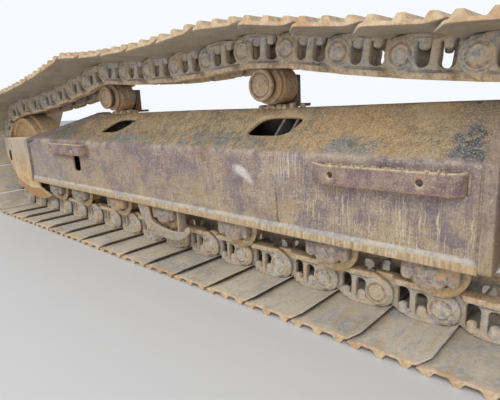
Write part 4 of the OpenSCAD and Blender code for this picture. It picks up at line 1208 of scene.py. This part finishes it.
def nose():
    """An idler guide plate laid flat and bent: a straight top edge, a bowl-shaped lower edge, the tip and the bowl
    leaning inwards, an upright oval hole."""
    cx, cz, r = IDLER_X + 256, 873.0, 754.0
    tip, back = IDLER_X - 272, IDLER_X + 494.5
    xs = np.linspace(back, tip, 30)
    arc = columns(xs, cz - np.sqrt(r * r - (xs - cx) ** 2))
    outline = np.concatenate([[(tip, 561), (FRONT_X - 4, 580), (FRONT_X - 4, 552), (FRONT_X + 88, 552),
                               (FRONT_X + 88, 263), (FRONT_X + 8, 242)], arc])
    outline = columns(outline, [10, 6, 3, 4, 4, 20, 12] + [2] * 28 + [14])
    outline = shaped(outline, 4, 20)
    hole = spread(oval(IDLER_X - 146, 425, 32, 42, 2.6, 24), 9)
    arc_line = np.concatenate([arc, arc[::-1] - [0, 0.01]])
    fold, soft = NOSE_FOLD, 14

    def top(x, z):
        bend = np.where(x < fold - soft, fold - x, (fold + soft - x) ** 2 / (4 * soft))
        tip_in = TIP_LEAN * np.where(x > fold + soft, 0, bend)
        near_edge = np.clip(BOWL_W - border_distance(columns(x, z), [arc_line]), 0, BOWL_W)
        return NOSE_Y - tip_in - BOWL_LEAN * near_edge * near_edge / (near_edge + 12) * (z < BOWL_TOP)

    rows = np.arange(170, 570, 24.0)
    extra = [columns(np.full(len(rows), fold + k), rows) for k in (-22, -14, -5, 5, 14, 22)]
    extra += [columns(xs, cz - np.sqrt((r - k) ** 2 - (xs - cx) ** 2)) for k in (60, 80, 92, 104)]
    s = plate([outline, hole], top, lambda x, z: top(x, z) - NOSE_T, 4.0, 30.0, np.concatenate(extra), 4.0)
    crease = border_distance(s[0][:, [0, 2]], [arc_line])
    # The fold mark, along the fold and the bowl's crease, is painted pale as a highlight
    s[2]["fold"] = np.maximum(np.clip(1 - np.abs(s[0][:, 0] - fold) / 16, 0, 1),
                              0.8 * np.clip(1 - np.abs(crease - BOWL_W) / 9, 0, 1) * (s[0][:, 2] < BOWL_TOP))
    # The hole mark paints the hole's walls dark: painted shade
    s[2]["hole"] = 1 - smooth(border_distance(s[0][:, [0, 2]], [hole]), 0.5, 3.5)
    s[2]["bowl"] = (1 - smooth(crease, 84, 94)) * (s[0][:, 2] < BOWL_TOP)
    return outward(s)


both_sides("guide_plate", nose(), GUIDE, "nose_plate", 34)


def step_bar(x0, z0, radii):
    """A flat bar with two holes, laid flat as (z, thickness, s) and wrapped round its bent plan."""
    half, y = BAR_T / 2, -FRAME_HALF + 3
    far = -FRAME_HALF - BAR_OUT + half + 2
    path = section([(x0 + 2, y, 0), (x0 + 66, far, radii[0]), (x0 + BAR_LENGTH - 10, far, radii[1]),
                    (x0 + BAR_LENGTH - half - 1, y, 0)], 9)
    total = path[0][-1]
    outline = shaped([(0, 0, 2), (BAR_H, 0, 2), (BAR_H, total, 2), (0, total, 2)], 3, 13)
    holes = [spread(oval(BAR_H / 2, s, 11, 11, 2.0, 20), 6) for s in (104.0, 104.0 + BAR_LENGTH - 210)]

    def face(side):
        return lambda z, s: side * half + 0.5 * np.sin(s / 60)

    s = bent(plate([outline] + holes, face(1), face(-1), 3.0, 16.0, None, 2.0), path)
    return outward((s[0][:, [1, 2, 0]] + [0, 0, z0], s[1], s[2]))


for name, row in BARS.items():
    piece("step_%s_body" % name, step_bar(*row[:3]), BAR, ["step_bar_" + name], 34)


def guard():
    """The hook-shaped guard plate below the middle roller, with the rib that carries its tip."""
    c = [(-250, 241, 14), (-224, 184, 14), (-179, 130, 14), (-86, 103, 14), (14, 100, 14), (79, 106, 14),
         (136, 132, 14), (164, 158, 14), (170, 176, 10), (160, 188, 9), (146, 184, 10), (118, 158, 14), (78, 150, 14),
         (14, 148, 14), (-36, 154, 14), (-110, 164, 14), (-143, 179, 14), (-158, 247, 14), (-158, FLOOR_Z, 3),
         (-250, FLOOR_Z, 3)]
    outline = shaped([(x + X_MID, z, r) for x, z, r in c], 4, 14)
    hook = plate([outline], level(-NOSE_Y + 12), level(-NOSE_Y), 3.5, 22.0)
    x0 = X_MID + 66
    rib = shaped([(x0, 121, 3), (x0 + 12, 121, 3), (x0 + 12, FLOOR_Z, 2), (x0, FLOOR_Z, 2)], 3, 30)
    return join(outward(hook), prism(rib, -NOSE_Y + 10, -NOSE_Y + 58, 3))


piece("guard_body", guard(), GUARD, ["track_guard"], 34)


def crest_dirt():
    """Clods of dried earth on the crest, heaped against the two posts' feet; the largest stand nearest."""
    one = []
    for post in POST_X:
        for k in range(16):
            a, r = 2.4 * k, 48 + 5.0 * k
            half = 7 + 11 * abs(math.sin(1.7 * k + post)) * (1 - k / 20)
            x, y = post + 16 + r * math.cos(a), max(-CREST_HALF - 4, min(CREST_HALF + 4, 0.55 * r * math.sin(a)))
            one.append(shift(clod(half, CREST_Z + 1.1 * half, CREST_Z - 6, k + post, 9), (x, y, 0)))
    return join(*one)


piece("dirt_on_crest", crest_dirt(), EARTH, (), 50)


def bar_dirt():
    """Small clods in an uneven row along the top edge of each step bar."""
    one = []
    for x0, z0, _, n in BARS.values():
        for k in range(n):
            x = x0 + 78 + 372 * (k + 0.4 * math.sin(5.1 * k)) / (n - 1)
            half = 4 + 3.2 * math.sin(2.3 * k) ** 2
            y = -FRAME_HALF - 38 + 2.2 * math.sin(3.7 * k)
            one.append(shift(clod(half, z0 + 64 + 1.1 * half, z0 + 60, 1.3 * k, 8), (x, y, 0)))
    return join(*one)


def weld(points, r=5.0):
    """A weld bead: rings of eight along a path across x, swelling every 8 mm, drawn in at both ends."""
    q = np.asarray(points, float)
    at = np.concatenate([[0], np.cumsum(np.linalg.norm(np.diff(q, axis=0), axis=1))])
    t = np.arange(0, at[-1], 2.7)
    q = columns(*[np.interp(t, at, q[:, k]) for k in range(3)])
    out = np.cross(unit_rows(np.gradient(q, axis=0)), [1.0, 0, 0])
    size = r * (1 + 0.14 * np.sin(t * math.pi / 4)) * np.clip((np.minimum(t, t[-1] - t) + 1.5) / 6, 0, 1) ** 0.5
    a = (np.arange(8) * np.pi / 4)[None, :, None]
    return outward(tube(q[:, None] + size[:, None, None] * (np.cos(a) * out[:, None] + np.sin(a) * [1.0, 0, 0])))


def welds():
    """Beads round the box where the rear plate stands on it, and at both ends of each step bar."""
    half = [(END_X - 2, -FRAME_HALF, SKIRT_Z + 20), (END_X - 2, -FRAME_HALF, RIDGE_Z - 8),
            (END_X - 2, -FRAME_HALF + 7, RIDGE_Z + 3), (END_X - 2, -CREST_HALF - 5, CREST_Z - 3)]
    one = [weld(half), weld([(x, -y, z) for x, y, z in half])]
    for x0, z0, _, _ in BARS.values():
        for x in (x0 - 1, x0 + BAR_LENGTH + 2):
            one.append(weld([(x, -FRAME_HALF - 1, z0 + 2), (x, -FRAME_HALF - 1, z0 + 62)], 4.0))
    return join(*one)


piece("dirt_on_bars", bar_dirt(), EARTH, (), 50)
piece("weld_beads", welds(), PLATE_STEEL, (), 60)


# ---------- Idler, sprocket and drive ----------
def idler():
    """Hub, nearly flat web and rim with a middle flange, turned about the axle; its corners rounded."""
    half = [(46, -118, 1), (86, -118, 5), (94, -100, 6), (106, -86, 12), (160, -84, 40), (228, -88, 8), (238, -101, 4),
            (246, -105, 5), (266, -105, 6), (270, -98, 4), (270, -56, 4), (288, -48, 5), (290, -20, 8)]
    corners = half + [(r, -y, f) for r, y, f in half[::-1]]
    return turned(wheel_profile(corners, 4), IDLER_X, IDLER_Z, 96, closed=False)


piece("idler_body", idler(), IDLER_IRON, ["idler_wheel"], 34)


def sprocket():
    """The toothed ring: pockets for the bushings between rounded teeth, thinner toward the tips, and a bore."""
    first = math.atan2(PINS[-1, 1] - SPROCKET_Z, PINS[-1, 0] - SPROCKET_X)
    pin_r, tip_r, pocket = SPROCKET_PIN_R, SPROCKET_PIN_R + 14, 35.0
    step = 2 * math.pi / TEETH
    a = np.linspace(0.80, 2 * math.pi - 0.80, 11)
    dip = columns(pin_r + pocket * np.cos(a), pocket * np.sin(a))
    dip = dip[dip[:, 0] < pin_r + 12]
    a = step / 2 + np.array([-0.035, 0.0, 0.035])
    one = np.concatenate([dip[np.argsort(dip[:, 1])], tip_r * columns(np.cos(a), np.sin(a))])
    rim = []
    for k in range(TEETH):
        c, d = math.cos(first + k * step), math.sin(first + k * step)
        rim.append(one @ np.array([[c, d], [-d, c]]))
    outline = ccw(spread(np.concatenate(rim) + [SPROCKET_X, SPROCKET_Z], 16))

    def thick(x, z):
        r = np.hypot(x - SPROCKET_X, z - SPROCKET_Z)
        return 38 - 10 * smooth(r, pin_r - 40, tip_r)

    bore = circle(SPROCKET_X, SPROCKET_Z, SPROCKET_BORE, 72)
    return outward(plate([outline, bore], thick, lambda x, z: -thick(x, z), 4.0, 24.0))


piece("sprocket_body", sprocket(), CASTING, ["sprocket_ring"], 34)


def drive_case():
    """The final drive's stepped round case inside the sprocket, a profile turned about its axle."""
    return solid_turned([(0, -190, 0), (40, -190, 2), (44, -186, 3), (108, -186, 4), (120, -182, 8), (138, -168, 10),
                         (146, -120, 12), (152, -80, 12), (188, -62, 8), (222, -57, 3), (224, -50, 3), (224, 38, 3),
                         (214, 60, 5), (199, 74, 2), (0, 74, 0)], SPROCKET_X, SPROCKET_Z, 4, 72)


def motor():
    """The travel motor on the inner side, a profile with a waist turned about the same axle."""
    return solid_turned([(0, 74.3, 0), (198, 74.3, 3), (199, 104, 3), (168, 108, 4), (164, 122, 5), (164, 160, 4),
                         (158, 164, 3), (158, 176, 3), (164, 180, 4), (164, 228, 8), (120, 249, 8), (60, 249, 3),
                         (56, 244, 3), (0, 244, 0)], SPROCKET_X, SPROCKET_Z, 4, 72)


def hex_head(r, h):
    """A bolt's head: six sides on a washer, chamfered at the top; its axis along -y, its foot at 0."""
    a = np.arange(6) * np.pi / 3
    rings = [columns(k * r * np.cos(a), np.full(6, y), k * r * np.sin(a))
             for k, y in ((1.25, 2.0), (1.25, -2.5), (1.0, -3.0), (1.0, -h + 2), (0.85, -h))]
    return outward(tube(np.array(rings), True, np.array([0.2, 0.5, 0.2, 0.6, 0.8])))


def bolt_ring(head, r, y, n, start=0.0):
    """Bolt heads in a ring round the sprocket's axle."""
    a = start + around(n)
    return at_places(head, columns(SPROCKET_X + r * np.cos(a), np.full(n, y), SPROCKET_Z + r * np.sin(a)))


piece("drive_case_body", drive_case(), CASTING, ["final_drive_case"], 34)
piece("travel_motor_body", motor(), MOTOR, ["travel_motor"], 34)
piece("drive_bolts", join(bolt_ring(hex_head(11, 14), 96, -185, 12), bolt_ring(hex_head(13, 15), 206, -57, 16, 0.1)),
      CASTING, (), 30)


def bracket():
    """The plate that carries the drive: a disc round the motor's bore with a web to the frame's rear end."""
    a = np.linspace(-math.pi / 2, math.pi / 2, 40)
    disc = columns(SPROCKET_X + 250 * np.cos(a), SPROCKET_Z + 250 * np.sin(a))
    outline = spread(np.concatenate([disc, [(REAR_X, RIDGE_Z - 30), (REAR_X, SKIRT_Z + 30)]]), 30)
    bore = circle(SPROCKET_X, SPROCKET_Z, BRACKET_BORE, 64)
    return outward(plate([ccw(outline), bore], level(BRACKET_Y[1]), level(BRACKET_Y[0]), 4.0, 40.0))


piece("drive_bracket_body", bracket(), PLATE_STEEL, ["drive_bracket"], 34)
piece("bracket_bolts", bolt_ring(flip_y(hex_head(13, 15)), 226, BRACKET_Y[1], 18), CASTING, (), 30)


# ---------- Floor, light and camera ----------
def floor_finish():
    """A plain pale floor."""
    m = Paint("studio_floor")
    return m.finish(m.mix(m.noise(2.0, 3) * 0.3, (206, 205, 204), (198, 198, 198)), 0.9)


bpy.ops.mesh.primitive_plane_add(size=60, location=(0, 0, 0))
ground = bpy.context.object
ground.name = "studio_floor"
ground.data.materials.append(floor_finish())

# Seen by the camera, or in a mirror or glass, the backdrop is white; as a light it is dimmer
BACKDROP, WORLD_LIGHT = (0.93, 0.96, 1.0, 1), 0.66
world = bpy.data.worlds.new("studio")
bpy.context.scene.world = world
world.use_nodes = True
nodes, wire = world.node_tree.nodes, world.node_tree.links.new
nodes["Background"].inputs[0].default_value = BACKDROP
ray = nodes.new("ShaderNodeLightPath")
direct, seen, strength = [nodes.new("ShaderNodeMath") for _ in range(3)]
direct.operation, seen.operation, strength.operation = "MAXIMUM", "MAXIMUM", "MULTIPLY_ADD"
wire(ray.outputs["Is Camera Ray"], direct.inputs[0])
wire(ray.outputs["Is Glossy Ray"], direct.inputs[1])
wire(direct.outputs[0], seen.inputs[0])
wire(ray.outputs["Is Transmission Ray"], seen.inputs[1])
wire(seen.outputs[0], strength.inputs[0])
strength.inputs[1].default_value, strength.inputs[2].default_value = 1 - WORLD_LIGHT, WORLD_LIGHT
wire(strength.outputs[0], nodes["Background"].inputs[1])

# Lamps: name, place, watts, size
LAMPS = (("key", (2.5, -4.5, 4.5), 165, 2.5), ("fill", (-4.5, -3.5, 3.0), 100, 3.0),
         ("low", (2.6, -4.2, 0.7), 45, 1.5), ("back", (0.5, 4.5, 4.0), 110, 3.0))
for name, spot, energy, size in LAMPS:
    lamp = bpy.data.lights.new(name, "AREA")
    lamp.energy, lamp.size = energy, size
    o = bpy.data.objects.new(name, lamp)
    o.location = spot
    o.rotation_mode = "QUATERNION"
    o.rotation_quaternion = (Vector((0, 0, 0.5)) - Vector(spot)).to_track_quat("-Z", "Y")
    bpy.context.scene.collection.objects.link(o)

# The photo's camera
YAW, PITCH_DOWN, ROLL = (math.radians(a) for a in (43.14, 12.90, -2.85))
LENS_MM, EYE = 31.04, (1.7387, -1.4127, 0.7533)
camera = bpy.data.cameras.new("photo_view")
camera.lens, camera.sensor_width = LENS_MM, 36.0
camera.clip_start, camera.clip_end = 0.01, 200
view = bpy.data.objects.new("photo_view", camera)
forward = Vector((-math.sin(YAW) * math.cos(PITCH_DOWN), math.cos(YAW) * math.cos(PITCH_DOWN), -math.sin(PITCH_DOWN)))
sideways = Vector((math.cos(YAW), math.sin(YAW), 0))
upright = sideways.cross(forward)
right = math.cos(ROLL) * sideways + math.sin(ROLL) * upright
up = -math.sin(ROLL) * sideways + math.cos(ROLL) * upright
turn = Matrix((right, up, -forward)).transposed()
view.matrix_world = Matrix.Translation(EYE) @ turn.to_4x4()
bpy.context.scene.collection.objects.link(view)
bpy.context.scene.camera = view
bpy.context.scene.view_settings.view_transform = "Standard"
